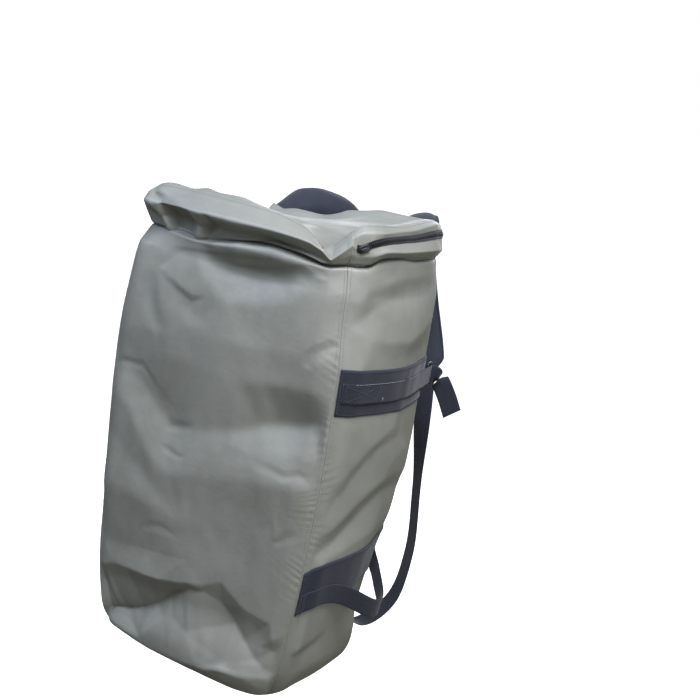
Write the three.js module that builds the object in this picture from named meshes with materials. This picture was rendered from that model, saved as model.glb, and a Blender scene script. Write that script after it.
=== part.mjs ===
// A soft tarpaulin travel duffel, shaped as it hangs when it is worn upright on the back.
// Six sewn panels enclose the hollow. Webbing bands cross both sides, a zip crosses the top
// of the right side, and two padded shoulder straps stand off the front panel.
// Millimetres, +Z up, +X to the wearer's right, +Y the way the wearer faces.
// The origin lies midway between the two straps, at the height where they bear on the shoulders.
import * as THREE from "three";

// Driving dimensions of the sewn pieces
const WALL = 2; // tarpaulin with its coating
const SEAM_GAP = 0.7; // between two panels along a seam
const LAY_GAP = 0.35; // between a piece and what it is sewn on
const WEB = 1.6; // webbing thickness
const BAND_WIDTH = 60;
const STRAP_WIDTH = 27;
const PAD_WIDTH = 62;
const PAD_THICKNESS = 18;
const TOP_SINK = 24; // drop of the top end panel's middle below its seam
const BOTTOM_SAG = 14; // drop of the bottom end panel's middle below its seam

// Where the straps bear on the shoulders, in the bag's own frame, whose zero is the middle of the bottom seam
const SHOULDER_LINE = { y: 184, z: 620 };

// Rows of a table become objects with the columns' names.
function table(columns, rows) {
  return rows.map((row) => Object.fromEntries(columns.map((name, i) => [name, row[i]])));
}

// Sections of the bag from the bottom seam to the top seam: the four sides' places, the corner radius,
// how far the sides swell between their corners, and the steps that the panels take up to the next row.
// The crease and the slumped roll above it are the rows from 556 to 640.
const LEVELS = table(
  ["z", "left", "right", "rear", "front", "corner", "rearSwell", "sideSwell", "frontSwell", "steps"],
  [
    [0, -150, 146, -94, 84, 30, 3, 4, 2, 1],
    [14, -155, 156, -109, 90, 31, 5, 5, 2, 1],
    [42, -162, 166, -118, 84, 32, 8, 7, 3, 2],
    [100, -172, 173, -122, 70, 34, 10, 9, 3, 2],
    [180, -181, 179, -123, 83, 40, 10, 11, 4, 3],
    [300, -192, 184, -124, 125, 44, 10, 15, 4, 3],
    [428, -195, 181, -124, 130, 42, 10, 21, 4, 3],
    [520, -187, 177, -122, 134, 40, 9, 20, 3, 2],
    [552, -182, 174, -118, 134, 38, 7, 14, 3, 1],
    [569, -175, 168, -108, 132, 34, 3, 8, 2, 1],
    [579, -173, 166, -105, 131, 33, 2, 6, 2, 1],
    [593, -178, 169, -116, 131, 34, 4, 6, 2, 1],
    [610, -182, 171, -125, 129, 34, 6, 7, 2, 1],
    [626, -177, 168, -121, 124, 32, 6, 6, 2, 1],
    [640, -162, 157, -106, 114, 30, 4, 3, 1, 0],
  ],
);
const BOTTOM_Z = LEVELS[0].z;
const TOP_Z = LEVELS.at(-1).z;

// Dents and ridges: a line near the wall, how far its effect reaches, how far it moves the wall,
// and the share of that move at the line's start, growing to the whole of it at the line's end.
const FOLDS = table(
  ["x1", "y1", "z1", "x2", "y2", "z2", "reach", "dx", "dy", "dz", "startShare"],
  [
    [140, -112, 640, 40, -100, 645, 72, -4, 6, -13, 1], // rear of the top, slumped towards the right
    [138, -130, 614, 112, -60, 640, 42, 0, 10, -30, 1], // notch beside the rear right corner
    [-160, 112, 640, -40, 112, 640, 112, 2, -2, -34, 1], // top sunk towards the front
    [-165, -90, 640, -70, -90, 645, 90, 0, 0, -9, 1], // left of the roll, a little lower
    [-168, 0, 640, -168, 60, 640, 80, 4, 0, -14, 1], // left edge of the top, sunk
    [-110, -92, 0, 90, -92, 0, 80, 0, -2, -13, 0.45], // sagging edge along the bottom
    [40, -130, 355, 168, -124, 394, 40, 0, 9, 0, 0.8], // valley across the rear at the upper band
    [-175, -126, 374, -60, -130, 322, 44, 0, 9, 0, 0.6], // hollow at the left of the rear
    [-105, -120, 28, 0, -128, 104, 40, 0, 9, 0, 1], // hollow above the bottom left corner
    [-100, -112, 26, 100, -112, 42, 62, 0, -9, 2, 1], // load that pushes the foot of the rear out
    [192, 90, 560, 186, -70, 490, 40, -7, 0, 0, 1], // slanting fold above the upper band
    [198, 90, 330, 190, -80, 245, 40, -8, 0, 0, 1], // slanting fold above the lower band
  ],
);

// The four upright sides, counter-clockwise seen from above, starting at the rear
const SIDES = {
  rear: { along: [1, 0], out: [0, -1], columns: 14, swell: "rearSwell" },
  right: { along: [0, 1], out: [1, 0], columns: 10, swell: "sideSwell" },
  front: { along: [-1, 0], out: [0, 1], columns: 8, swell: "frontSwell" },
  left: { along: [0, -1], out: [-1, 0], columns: 8, swell: "sideSwell" },
};

// The section at a height, by cubic interpolation of every column of the levels table.
function sectionAt(z) {
  const last = LEVELS.length - 1;
  const above = LEVELS.findIndex((row) => row.z > z);
  const k = THREE.MathUtils.clamp((above < 0 ? last : above) - 1, 0, last - 1);
  const [before, lower, upper, after] = [-1, 0, 1, 2].map(
    (step) => LEVELS[THREE.MathUtils.clamp(k + step, 0, last)],
  );
  const span = upper.z - lower.z;
  const t = (z - lower.z) / span;
  const section = {};
  for (const name of Object.keys(lower)) {
    const slopeLow = ((upper[name] - before[name]) / (upper.z - before.z)) * span;
    const slopeHigh = ((after[name] - lower[name]) / (after.z - lower.z)) * span;
    section[name] =
      (2 * t ** 3 - 3 * t ** 2 + 1) * lower[name] +
      (t ** 3 - 2 * t ** 2 + t) * slopeLow +
      (3 * t ** 2 - 2 * t ** 3) * upper[name] +
      (t ** 3 - t ** 2) * slopeHigh;
  }
  return section;
}

// A point of a side before its folds: s runs from 0 to 1 between the seams at the corners' middles.
function plainWall(sideName, s, z) {
  const side = SIDES[sideName];
  const section = sectionAt(z);
  const acrossX = side.along[0] !== 0;
  const middleX = (section.left + section.right) / 2;
  const middleY = (section.rear + section.front) / 2;
  const half = acrossX ? (section.right - section.left) / 2 : (section.front - section.rear) / 2;
  const straight = half - section.corner;
  const run = (2 * s - 1) * (straight + (section.corner * Math.PI) / 4);
  const turn = Math.max(0, Math.abs(run) - straight) / section.corner;
  const offset = Math.sign(run) * (Math.min(Math.abs(run), straight) + section.corner * Math.sin(turn));
  const reach = straight + section.corner * Math.SQRT1_2;
  const swell = section[side.swell] * (1 - Math.min(1, (offset / reach) ** 2)) ** 2;
  const out = swell - section.corner * (1 - Math.cos(turn));
  const x = acrossX ? middleX : section[sideName];
  const y = acrossX ? section[sideName] : middleY;
  return new THREE.Vector3(
    x + side.along[0] * offset + side.out[0] * out,
    y + side.along[1] * offset + side.out[1] * out,
    z,
  );
}

// A point of an end panel before its folds: t runs from 0 at the seam to 1 at the middle.
function plainEnd(isTop, sideName, s, t) {
  const seamZ = isTop ? TOP_Z : BOTTOM_Z;
  const section = sectionAt(seamZ);
  const seam = plainWall(sideName, s, seamZ);
  const middleX = (section.left + section.right) / 2;
  const middleY = (section.rear + section.front) / 2;
  const point = seam.lerp(new THREE.Vector3(middleX, middleY, seamZ), t);
  point.z -= (isTop ? TOP_SINK : BOTTOM_SAG) * (1 - (1 - t) ** 2);
  return point;
}

// The unit normal of a surface given as a function of two parameters.
function normalOf(surface, s, t, stepS, stepT) {
  const alongS = surface(s + stepS, t).sub(surface(s - stepS, t));
  const alongT = surface(s, t + stepT).sub(surface(s, t - stepT));
  return alongS.cross(alongT).normalize();
}

// Moves a point of the plain surface by the folds near it.
function folded(point) {
  const moved = point.clone();
  for (const fold of FOLDS) {
    const start = new THREE.Vector3(fold.x1, fold.y1, fold.z1);
    const end = new THREE.Vector3(fold.x2, fold.y2, fold.z2);
    const line = new THREE.Line3(start, end);
    const along = line.closestPointToPointParameter(point, true);
    const away = Math.min(1, line.at(along, new THREE.Vector3()).distanceTo(point) / fold.reach);
    const strength = THREE.MathUtils.lerp(fold.startShare, 1, along) * (1 - away ** 2) ** 2;
    moved.addScaledVector(new THREE.Vector3(fold.dx, fold.dy, fold.dz), strength);
  }
  return moved;
}

const STEP_S = 0.004;
const STEP_Z = 1.5;
const STEP_T = 0.01;

function wallPoint(sideName, s, z) {
  return folded(plainWall(sideName, s, z));
}

function wallNormal(sideName, s, z) {
  return normalOf((a, b) => wallPoint(sideName, a, b), s, z, STEP_S, STEP_Z);
}

function endPoint(isTop, sideName, s, t) {
  return folded(plainEnd(isTop, sideName, s, t));
}

function endNormal(isTop, sideName, s, t) {
  if (t > 1 - 2 * STEP_T) return new THREE.Vector3(0, 0, isTop ? 1 : -1);
  const normal = normalOf((a, b) => endPoint(isTop, sideName, a, b), s, t, STEP_S, STEP_T);
  return isTop ? normal : normal.negate();
}

// The direction of a side panel's columns at a place: level, from its first seam towards its second.
function wallTangent(sideName, s, z) {
  return wallPoint(sideName, s + STEP_S, z).sub(wallPoint(sideName, s - STEP_S, z)).normalize();
}

// An end seam's normal is the mean of the two panels' there, so that their walls meet squarely.
// Its away direction lies in the wall and leads from the seam down the side.
function endSeam(isTop, sideName, s) {
  const seamZ = isTop ? TOP_Z : BOTTOM_Z;
  const normal = wallNormal(sideName, s, isTop ? seamZ - STEP_Z : seamZ + STEP_Z);
  normal.add(endNormal(isTop, sideName, s, 2 * STEP_T)).normalize();
  const away = wallTangent(sideName, s, seamZ).cross(normal).normalize();
  return { point: wallPoint(sideName, s, seamZ), normal, away: isTop ? away : away.negate() };
}

// Collects triangles by vertex and makes the geometry.
class Skin {
  constructor() {
    this.points = [];
    this.faces = [];
  }
  add(point) {
    this.points.push(point.x, point.y, point.z);
    return this.points.length / 3 - 1;
  }
  quad(a, b, c, d) {
    this.faces.push(a, b, c, a, c, d);
  }
  geometry() {
    const made = new THREE.BufferGeometry();
    made.setAttribute("position", new THREE.Float32BufferAttribute(this.points, 3));
    made.setIndex(this.faces);
    made.computeVertexNormals();
    return made;
  }
}

// A sheet of even thickness over a grid of {point, normal}: rows of columns, seen from outside with
// columns running right and rows running up. The offsets are along the normal.
function sheetGeometry(grid, innerOffset, outerOffset) {
  const skin = new Skin();
  const layer = (offset) =>
    grid.map((row) => row.map((at) => skin.add(at.point.clone().addScaledVector(at.normal, offset))));
  const inner = layer(innerOffset);
  const outer = layer(outerOffset);
  const rows = grid.length - 1;
  const columns = grid[0].length - 1;
  for (let i = 0; i < rows; i++) {
    for (let j = 0; j < columns; j++) {
      skin.quad(outer[i][j], outer[i][j + 1], outer[i + 1][j + 1], outer[i + 1][j]);
      skin.quad(inner[i][j], inner[i + 1][j], inner[i + 1][j + 1], inner[i][j + 1]);
    }
    skin.quad(outer[i][0], outer[i + 1][0], inner[i + 1][0], inner[i][0]);
    skin.quad(inner[i][columns], inner[i + 1][columns], outer[i + 1][columns], outer[i][columns]);
  }
  for (let j = 0; j < columns; j++) {
    skin.quad(inner[0][j], inner[0][j + 1], outer[0][j + 1], outer[0][j]);
    skin.quad(outer[rows][j], outer[rows][j + 1], inner[rows][j + 1], inner[rows][j]);
  }
  return skin.geometry();
}

// A disc of even thickness: closed rings of {point, normal} from the rim to near the middle, and the middle.
function discGeometry(rings, middle, thickness, isTop) {
  const skin = new Skin();
  const layer = (offset) =>
    rings.map((ring) => ring.map((at) => skin.add(at.point.clone().addScaledVector(at.normal, offset))));
  const outer = layer(0);
  const inner = layer(-thickness);
  const outerMiddle = skin.add(middle.point);
  const innerMiddle = skin.add(middle.point.clone().addScaledVector(middle.normal, -thickness));
  const quad = (a, b, c, d) => (isTop ? skin.quad(a, b, c, d) : skin.quad(d, c, b, a));
  const count = rings[0].length;
  const last = rings.length - 1;
  for (let j = 0; j < count; j++) {
    const next = (j + 1) % count;
    for (let i = 0; i < last; i++) {
      quad(outer[i][j], outer[i][next], outer[i + 1][next], outer[i + 1][j]);
      quad(inner[i][j], inner[i + 1][j], inner[i + 1][next], inner[i][next]);
    }
    quad(inner[0][j], inner[0][next], outer[0][next], outer[0][j]);
    const fans = [
      [outer[last][j], outer[last][next], outerMiddle],
      [inner[last][next], inner[last][j], innerMiddle],
    ];
    for (const [a, b, c] of fans) skin.faces.push(...(isTop ? [a, b, c] : [a, c, b]));
  }
  return skin.geometry();
}

// Heights of the panels' rows, from the steps column of the levels table.
function rowHeights() {
  const heights = [];
  LEVELS.forEach((row, k) => {
    const next = LEVELS[k + 1];
    for (let i = 0; i < row.steps; i++) heights.push(row.z + ((next.z - row.z) * i) / row.steps);
  });
  return [...heights, TOP_Z];
}

// A side panel keeps half the seam gap from each of its four seams.
function sidePanel(sideName) {
  const { columns } = SIDES[sideName];
  const heights = rowHeights();
  const last = heights.length - 1;
  const grid = heights.map((z, i) =>
    Array.from({ length: columns + 1 }, (_, j) => {
      const s = j / columns;
      const atEnd = i === 0 || i === last;
      const at = atEnd
        ? endSeam(i === last, sideName, s)
        : { point: wallPoint(sideName, s, z), normal: wallNormal(sideName, s, z) };
      if (atEnd) at.point.addScaledVector(at.away, SEAM_GAP / 2);
      const inwards = j === 0 ? 1 : j === columns ? -1 : 0;
      at.point.addScaledVector(wallTangent(sideName, s, z), (inwards * SEAM_GAP) / 2);
      return at;
    }),
  );
  return sheetGeometry(grid, -WALL, 0);
}

const END_RINGS = [0, 0.12, 0.3, 0.55, 0.8];

function endPanel(isTop) {
  const rings = END_RINGS.map((t, i) =>
    Object.entries(SIDES).flatMap(([sideName, { columns }]) =>
      Array.from({ length: columns }, (_, j) => {
        const s = j / columns;
        if (i > 0) {
          return { point: endPoint(isTop, sideName, s, t), normal: endNormal(isTop, sideName, s, t) };
        }
        const seam = endSeam(isTop, sideName, s);
        return { point: seam.point.addScaledVector(seam.away, -SEAM_GAP / 2), normal: seam.normal };
      }),
    ),
  );
  const middle = { point: endPoint(isTop, "rear", 0.5, 1), normal: endNormal(isTop, "rear", 0.5, 1) };
  return discGeometry(rings, middle, WALL, isTop);
}

// A place on a side panel's flat facets, which are split from their lower first corner upwards.
function facetPoint(sideName, s, z) {
  const { columns } = SIDES[sideName];
  const heights = rowHeights();
  const j = THREE.MathUtils.clamp(Math.floor(s * columns), 0, columns - 1);
  const i = Math.max(0, heights.findIndex((height) => height > z) - 1);
  const a = wallPoint(sideName, j / columns, heights[i]);
  const b = wallPoint(sideName, (j + 1) / columns, heights[i]);
  const c = wallPoint(sideName, (j + 1) / columns, heights[i + 1]);
  const d = wallPoint(sideName, j / columns, heights[i + 1]);
  const right = s * columns - j;
  const up = (z - heights[i]) / (heights[i + 1] - heights[i]);
  const isLowerFacet = right >= up;
  const level = isLowerFacet ? b.clone().sub(a) : c.clone().sub(d);
  const rise = isLowerFacet ? c.clone().sub(b) : d.clone().sub(a);
  return a.addScaledVector(level, right).addScaledVector(rise, up);
}

// Stations along a strip on a side: its own two ends, and the panel's columns between them.
function stationsOn(sideName, from, to) {
  const { columns } = SIDES[sideName];
  const between = Array.from({ length: columns + 1 }, (_, j) => j / columns);
  const margin = 0.008;
  return [from, ...between.filter((s) => s > from + margin && s < to - margin), to];
}

const NO_LIFT = () => 0;

// A strip sewn on a side: its middle's height and its lift off the wall may vary along it.
// The free length runs straight on past the last station.
function stripOnSide(sideName, strip) {
  const { from, to, width, centre, gap, thickness } = strip;
  const lift = strip.lift ?? NO_LIFT;
  const across = strip.across ?? 2;
  const stations = stationsOn(sideName, from, to);
  const grid = Array.from({ length: across + 1 }, (_, i) => {
    const place = (s) => {
      const z = centre(s) + width * (i / across - 0.5);
      const normal = wallNormal(sideName, s, z);
      return { point: facetPoint(sideName, s, z).addScaledVector(normal, lift(s)), normal };
    };
    const row = stations.map(place);
    if (strip.free) {
      const end = row.at(-1);
      const onwards = freeDirection(sideName, to, centre(to));
      row.push({ point: end.point.clone().addScaledVector(onwards, strip.free), normal: end.normal });
    }
    return row;
  });
  return sheetGeometry(grid, gap, gap + thickness);
}

// The way a strip leaves the wall where it runs on free.
function freeDirection(sideName, s, z) {
  return wallTangent(sideName, s, z);
}

// A flat or padded strap along a path. The profile gives its width and thickness by the share of the
// length, and so does the hint for the direction that its width keeps to.
function strapGeometry(points, steps, profile, hint, corners) {
  const path = new THREE.CatmullRomCurve3(points, false, "centripetal");
  const skin = new Skin();
  const rings = [];
  for (let k = 0; k <= steps; k++) {
    const u = k / steps;
    const { point, wide, deep } = strapFrame(path, u, hint);
    const { width, thickness } = profile(u);
    const ring = corners.map(([across, up]) => {
      const corner = point.clone().addScaledVector(wide, (across * width) / 2);
      return skin.add(corner.addScaledVector(deep, (up * thickness) / 2));
    });
    rings.push(ring);
  }
  const count = corners.length;
  for (let k = 0; k < steps; k++) {
    for (let j = 0; j < count; j++) {
      const next = (j + 1) % count;
      skin.quad(rings[k][j], rings[k][next], rings[k + 1][next], rings[k + 1][j]);
    }
  }
  for (let j = 1; j < count - 1; j++) {
    skin.faces.push(rings[0][0], rings[0][j + 1], rings[0][j]);
    skin.faces.push(rings[steps][0], rings[steps][j], rings[steps][j + 1]);
  }
  return skin.geometry();
}

function strapFrame(path, u, hint) {
  const point = path.getPointAt(u);
  const along = path.getTangentAt(u);
  const wide = hint(u);
  wide.addScaledVector(along, -wide.dot(along)).normalize();
  return { point, along, wide, deep: along.clone().cross(wide) };
}

const FLAT = [[1, -1], [1, 1], [-1, 1], [-1, -1]];
const PADDED = [[1, -0.35], [1, 0.35], [0.8, 1], [-0.8, 1], [-1, 0.35], [-1, -0.35], [-0.8, -1], [0.8, -1]];

// The front panel's s at an x, and a place there some way off the panel
function frontShare(x, z) {
  const section = sectionAt(z);
  const middleX = (section.left + section.right) / 2;
  const half = (section.right - section.left) / 2;
  const run = half - section.corner + (section.corner * Math.PI) / 4;
  return ((middleX - x) / run + 1) / 2;
}

function onFront(x, z, off) {
  const s = frontShare(x, z);
  return facetPoint("front", s, z).addScaledVector(wallNormal("front", s, z), off);
}

// A rectangular patch sewn on the front panel
function frontPatch({ low, high, width, gap, thickness }, x) {
  const middle = (low + high) / 2;
  const from = frontShare(x + width / 2, middle);
  const to = frontShare(x - width / 2, middle);
  const centre = () => middle;
  return stripOnSide("front", { from, to, width: high - low, centre, across: 3, gap, thickness });
}

const TARPAULIN = new THREE.MeshStandardMaterial({ color: 0x878c84, roughness: 0.5, metalness: 0 });
const WEBBING = new THREE.MeshStandardMaterial({ color: 0x363b48, roughness: 0.85, metalness: 0 });
const PADDING = new THREE.MeshStandardMaterial({ color: 0x474c5f, roughness: 0.9, metalness: 0 });
const PLASTIC = new THREE.MeshStandardMaterial({ color: 0x1d1f25, roughness: 0.4, metalness: 0 });

const bag = new THREE.Group();
bag.position.set(0, -SHOULDER_LINE.y, -SHOULDER_LINE.z);
function addPiece(name, geometry, material) {
  const mesh = new THREE.Mesh(geometry, material);
  mesh.name = name;
  bag.add(mesh);
}

// The sewn body
for (const sideName of Object.keys(SIDES)) addPiece(`${sideName}_panel`, sidePanel(sideName), TARPAULIN);
addPiece("top_end_panel", endPanel(true), TARPAULIN);
addPiece("bottom_end_panel", endPanel(false), TARPAULIN);

// The zip across the top of the right side, its end dipping at the rear
const ZIP = { gap: 1.6, tapeWidth: 13, coilWidth: 6, sliderWidth: 11, tape: 0.8, coil: 1.6, slider: 3 };
const ZIP_RUN = { from: 0.03, to: 0.96, stopEnd: 0.1, sliderFrom: 0.038, sliderTo: 0.094 };
const zipHeight = (s) => 617 - 9 * Math.max(0, 1 - s / 0.3) ** 2;
const ON_TAPE = ZIP.gap + ZIP.tape + 2 * LAY_GAP;
function zipStrip(from, to, width, gap, thickness) {
  return stripOnSide("right", { from, to, width, centre: zipHeight, gap, thickness });
}
const tapeGeometry = zipStrip(ZIP_RUN.from, ZIP_RUN.to, ZIP.tapeWidth, ZIP.gap, ZIP.tape);
const coilGeometry = zipStrip(ZIP_RUN.stopEnd, ZIP_RUN.to, ZIP.coilWidth, ON_TAPE, ZIP.coil);
const sliderGeometry = zipStrip(ZIP_RUN.sliderFrom, ZIP_RUN.sliderTo, ZIP.sliderWidth, ON_TAPE, ZIP.slider);
addPiece("zip_tape", tapeGeometry, WEBBING);
addPiece("zip_coil", coilGeometry, PLASTIC);
addPiece("zip_slider", sliderGeometry, PLASTIC);

// The webbing bands of both sides, and the straps sewn over them. Those of the left side stop short of
// the rear seam, because none shows along that edge.
const BAND = { from: 0.015, to: 0.985, gap: 0.9 };
const LEFT_END = { band: 0.9, strap: 0.875 };
const ON_BAND = BAND.gap + WEB + 1.8 * LAY_GAP;
const upperHeight = () => 428;
const lowerHeight = (s) => 166 + 22 * s - 10 * Math.max(0, 1 - s / 0.2) ** 2;
const SLACK = { lift: 38, droop: 34, offset: -16, bias: 1.9 };
const slackShare = (s) => THREE.MathUtils.clamp((s - 0.06) / 0.88, 0, 1);
const slackShape = (s) => Math.sin(Math.PI * slackShare(s) ** SLACK.bias) ** 2;
const UPPER_STRAP = { from: 0.035, to: 0.8, free: 58 };
const onLeft = (height) => (s) => height(1 - s);
for (const [sideName, mirror] of [["right", (height) => height], ["left", onLeft]]) {
  const isRight = sideName === "right";
  const band = { ...BAND, width: BAND_WIDTH, thickness: WEB };
  if (!isRight) band.to = LEFT_END.band;
  const upperMiddle = mirror(upperHeight);
  const lowerMiddle = mirror(lowerHeight);
  addPiece(`upper_band_${sideName}`, stripOnSide(sideName, { ...band, centre: upperMiddle }), WEBBING);
  addPiece(`lower_band_${sideName}`, stripOnSide(sideName, { ...band, centre: lowerMiddle }), WEBBING);
  const strapTo = isRight ? 0.965 : LEFT_END.strap;
  const strap = { from: 0.035, to: strapTo, width: STRAP_WIDTH, gap: ON_BAND, thickness: WEB };
  const upper = isRight ? { ...strap, ...UPPER_STRAP } : strap;
  addPiece(`upper_strap_${sideName}`, stripOnSide(sideName, { ...upper, centre: upperMiddle }), WEBBING);
  const slackMiddle = (s) => lowerHeight(s) + SLACK.offset - SLACK.droop * slackShape(s);
  const lower = isRight
    ? { ...strap, centre: slackMiddle, lift: (s) => SLACK.lift * slackShape(s) }
    : { ...strap, centre: lowerMiddle };
  addPiece(`lower_strap_${sideName}`, stripOnSide(sideName, lower), WEBBING);
}

// The buckle at the free end of the upper right strap, with the strap's tail hanging from it.
// The buckle is a ladder lock: a frame with a bar across its middle.
const BUCKLE = { length: 22, height: 34, thickness: 4, rim: 3.5, bar: 3 };
const UP = new THREE.Vector3(0, 0, 1);
const strapEnd = wallPoint("right", UPPER_STRAP.to, upperHeight());
const strapAway = freeDirection("right", UPPER_STRAP.to, upperHeight());
const strapOut = wallNormal("right", UPPER_STRAP.to, upperHeight());
// A plate of cells between the lines across and the lines up it, with some cells left open.
function plateGeometry(across, up, isOpen, depth, place) {
  const skin = new Skin();
  const corner = (x, y, z) => skin.add(new THREE.Vector3(x, y, z).applyMatrix4(place));
  const layer = (z) => across.map((x) => up.map((y) => corner(x, y, z)));
  const low = layer(0);
  const high = layer(depth);
  const filled = (i, j) => i >= 0 && j >= 0 && i < across.length - 1 && j < up.length - 1 && !isOpen(i, j);
  for (let i = 0; i < across.length - 1; i++) {
    for (let j = 0; j < up.length - 1; j++) {
      if (!filled(i, j)) continue;
      skin.quad(high[i][j], high[i + 1][j], high[i + 1][j + 1], high[i][j + 1]);
      skin.quad(low[i][j], low[i][j + 1], low[i + 1][j + 1], low[i + 1][j]);
      if (!filled(i - 1, j)) skin.quad(low[i][j], high[i][j], high[i][j + 1], low[i][j + 1]);
      if (!filled(i + 1, j)) skin.quad(low[i + 1][j], low[i + 1][j + 1], high[i + 1][j + 1], high[i + 1][j]);
      if (!filled(i, j - 1)) skin.quad(low[i][j], low[i + 1][j], high[i + 1][j], high[i][j]);
      if (!filled(i, j + 1)) skin.quad(low[i][j + 1], high[i][j + 1], high[i + 1][j + 1], low[i + 1][j + 1]);
    }
  }
  return skin.geometry();
}

function buckleGeometry() {
  const window = (BUCKLE.length - 2 * BUCKLE.rim - BUCKLE.bar) / 2;
  const half = BUCKLE.height / 2;
  const across = [0, BUCKLE.rim, BUCKLE.rim + window, BUCKLE.rim + window + BUCKLE.bar];
  across.push(BUCKLE.length - BUCKLE.rim, BUCKLE.length);
  const up = [-half, BUCKLE.rim - half, half - BUCKLE.rim, half];
  const isWindow = (i, j) => j === 1 && (i === 1 || i === 3);
  const upright = strapOut.clone().cross(strapAway).normalize();
  const out = strapAway.clone().cross(upright).normalize();
  const corner = strapEnd.clone();
  corner.addScaledVector(strapAway, UPPER_STRAP.free - BUCKLE.rim - window - BUCKLE.bar / 2);
  corner.addScaledVector(out, ON_BAND - LAY_GAP - BUCKLE.thickness);
  const place = new THREE.Matrix4().makeBasis(strapAway, upright, out).setPosition(corner);
  return plateGeometry(across, up, isWindow, BUCKLE.thickness, place);
}
addPiece("upper_buckle_right", buckleGeometry(), PLASTIC);

const TAIL = { above: 12, below: 52, aside: 24, wide: new THREE.Vector3(0.85, 0.53, 0), reach: 13.4 };
const tailTop = strapEnd.clone().addScaledVector(strapAway, UPPER_STRAP.free + 1);
tailTop.addScaledVector(strapOut, ON_BAND + WEB + LAY_GAP + TAIL.reach);
const tailStart = tailTop.clone().addScaledVector(UP, TAIL.above);
const tailEnd = tailTop.clone().addScaledVector(UP, -TAIL.below).addScaledVector(TAIL.wide, TAIL.aside);
addPiece(
  "upper_tail_right",
  strapGeometry(
    [tailStart, tailTop, tailTop.clone().lerp(tailEnd, 0.5), tailEnd],
    6,
    () => ({ width: STRAP_WIDTH, thickness: WEB }),
    () => TAIL.wide.clone(),
    FLAT,
  ),
  WEBBING,
);

// The shoulder straps: a padded run over the shoulder, and webbing from its lower end back to the bag
const PAD_RUN = table(
  ["out", "y", "z"],
  [
    [115, 138, 604],
    [107, 152, 617],
    [92, 176, 626],
    [72, 207, 627],
    [56, 240, 616],
    [50, 266, 586],
    [53, 280, 545],
    [66, 284, 495],
    [88, 278, 440],
    [112, 256, 394],
  ],
);
const WEB_RUN = table(
  ["out", "y", "z"],
  [
    [130, 238, 330],
    [145, 233, 224],
    [158, 222, 130],
    [158, 190, 62],
    [138, 132, 34],
  ],
);
const TAB = { x: 120, length: 0.09, thickness: 2, width: 40 };
const FOOT = { x: 114, low: 54, high: 98, width: 40, gap: 0.9, thickness: 2 };
const WEB_LANDING = table(
  ["z", "off"],
  [
    [48, 14],
    [66, 2.5],
    [94, 0.6],
  ],
);
const PAD_NECK = { width: 34, thickness: 4 }; // at the tabs, before the pads swell
const PAD_BANK = 0.45; // slope of the pads across their width at their crowns, down towards the neck
const padProfile = (u) => {
  const rise = THREE.MathUtils.smoothstep(u, 0.1, 0.2);
  const fall = 1 - 0.55 * THREE.MathUtils.smoothstep(u, 0.93, 1);
  const width = THREE.MathUtils.lerp(PAD_NECK.width, PAD_WIDTH, rise) * fall;
  return { width, thickness: THREE.MathUtils.lerp(PAD_NECK.thickness, PAD_THICKNESS, rise) * fall };
};
// Each strap's side, the heights between which its upper end lies on the front panel before the folds,
// and its tab's gap to the panel's facets there
const STRAPS = table(
  ["sideName", "sign", "low", "high", "gap"],
  [
    ["right", 1, 560, 586, 1.2],
    ["left", -1, 590, 616, 2.4],
  ],
);
for (const { sideName, sign, low, high, gap } of STRAPS) {
  const mirrored = ({ out, y, z }) => new THREE.Vector3(sign * out, y, z);
  const acrossPad = (u) => {
    const splay = 0.18 * THREE.MathUtils.smoothstep(u, 0.1, 0.35);
    const crown = THREE.MathUtils.smoothstep(u, 0.1, 0.25) - THREE.MathUtils.smoothstep(u, 0.45, 0.65);
    return new THREE.Vector3(1, sign * splay, sign * PAD_BANK * crown);
  };
  const standOff = gap + TAB.thickness + 2 * LAY_GAP + padProfile(0).thickness / 2;
  const start = [low, high].map((z) => onFront(sign * TAB.x, z, standOff));
  const padPoints = [...start, ...PAD_RUN.map(mirrored)];
  addPiece(`shoulder_pad_${sideName}`, strapGeometry(padPoints, 30, padProfile, acrossPad, PADDED), PADDING);

  const padPath = new THREE.CatmullRomCurve3(padPoints, false, "centripetal");
  const tabAcross = () => new THREE.Vector3(1, 0, 0);
  const tabPoints = [0, 0.25, 0.5, 0.75, 1].map((share) => {
    const u = share * TAB.length;
    const { point, deep } = strapFrame(padPath, u, acrossPad);
    const side = deep.y < 0 ? 1 : -1;
    const off = padProfile(u).thickness / 2 + 2 * LAY_GAP + TAB.thickness / 2;
    return point.addScaledVector(deep, side * off);
  });
  const tabProfile = () => ({ width: TAB.width, thickness: TAB.thickness });
  addPiece(`strap_tab_${sideName}`, strapGeometry(tabPoints, 6, tabProfile, tabAcross, FLAT), TARPAULIN);

  addPiece(`strap_foot_${sideName}`, frontPatch(FOOT, sign * FOOT.x), TARPAULIN);
  const webOff = FOOT.gap + FOOT.thickness + 2 * LAY_GAP + WEB / 2;
  const footEnd = WEB_LANDING.map(({ z, off }) => onFront(sign * FOOT.x, z, webOff + off));
  const padEnd = strapFrame(padPath, 1, acrossPad);
  const webStart = [2 * LAY_GAP, 14].map((far) => padEnd.point.clone().addScaledVector(padEnd.along, far));
  const webPoints = [...webStart, ...WEB_RUN.map(mirrored), ...footEnd];
  const webProfile = () => ({ width: STRAP_WIDTH, thickness: WEB });
  const acrossWeb = (u) => {
    const twist = 0.18 - 0.9 * THREE.MathUtils.smoothstep(u, 0.08, 0.35);
    return new THREE.Vector3(1, sign * twist * THREE.MathUtils.smoothstep(1 - u, 0.15, 0.4), 0);
  };
  addPiece(`strap_web_${sideName}`, strapGeometry(webPoints, 26, webProfile, acrossWeb, FLAT), WEBBING);
}

const duffel = new THREE.Group();
duffel.add(bag);
export default duffel;
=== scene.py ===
# A soft tarpaulin travel duffel, as it hangs when it is worn upright on the back.
import math

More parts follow.
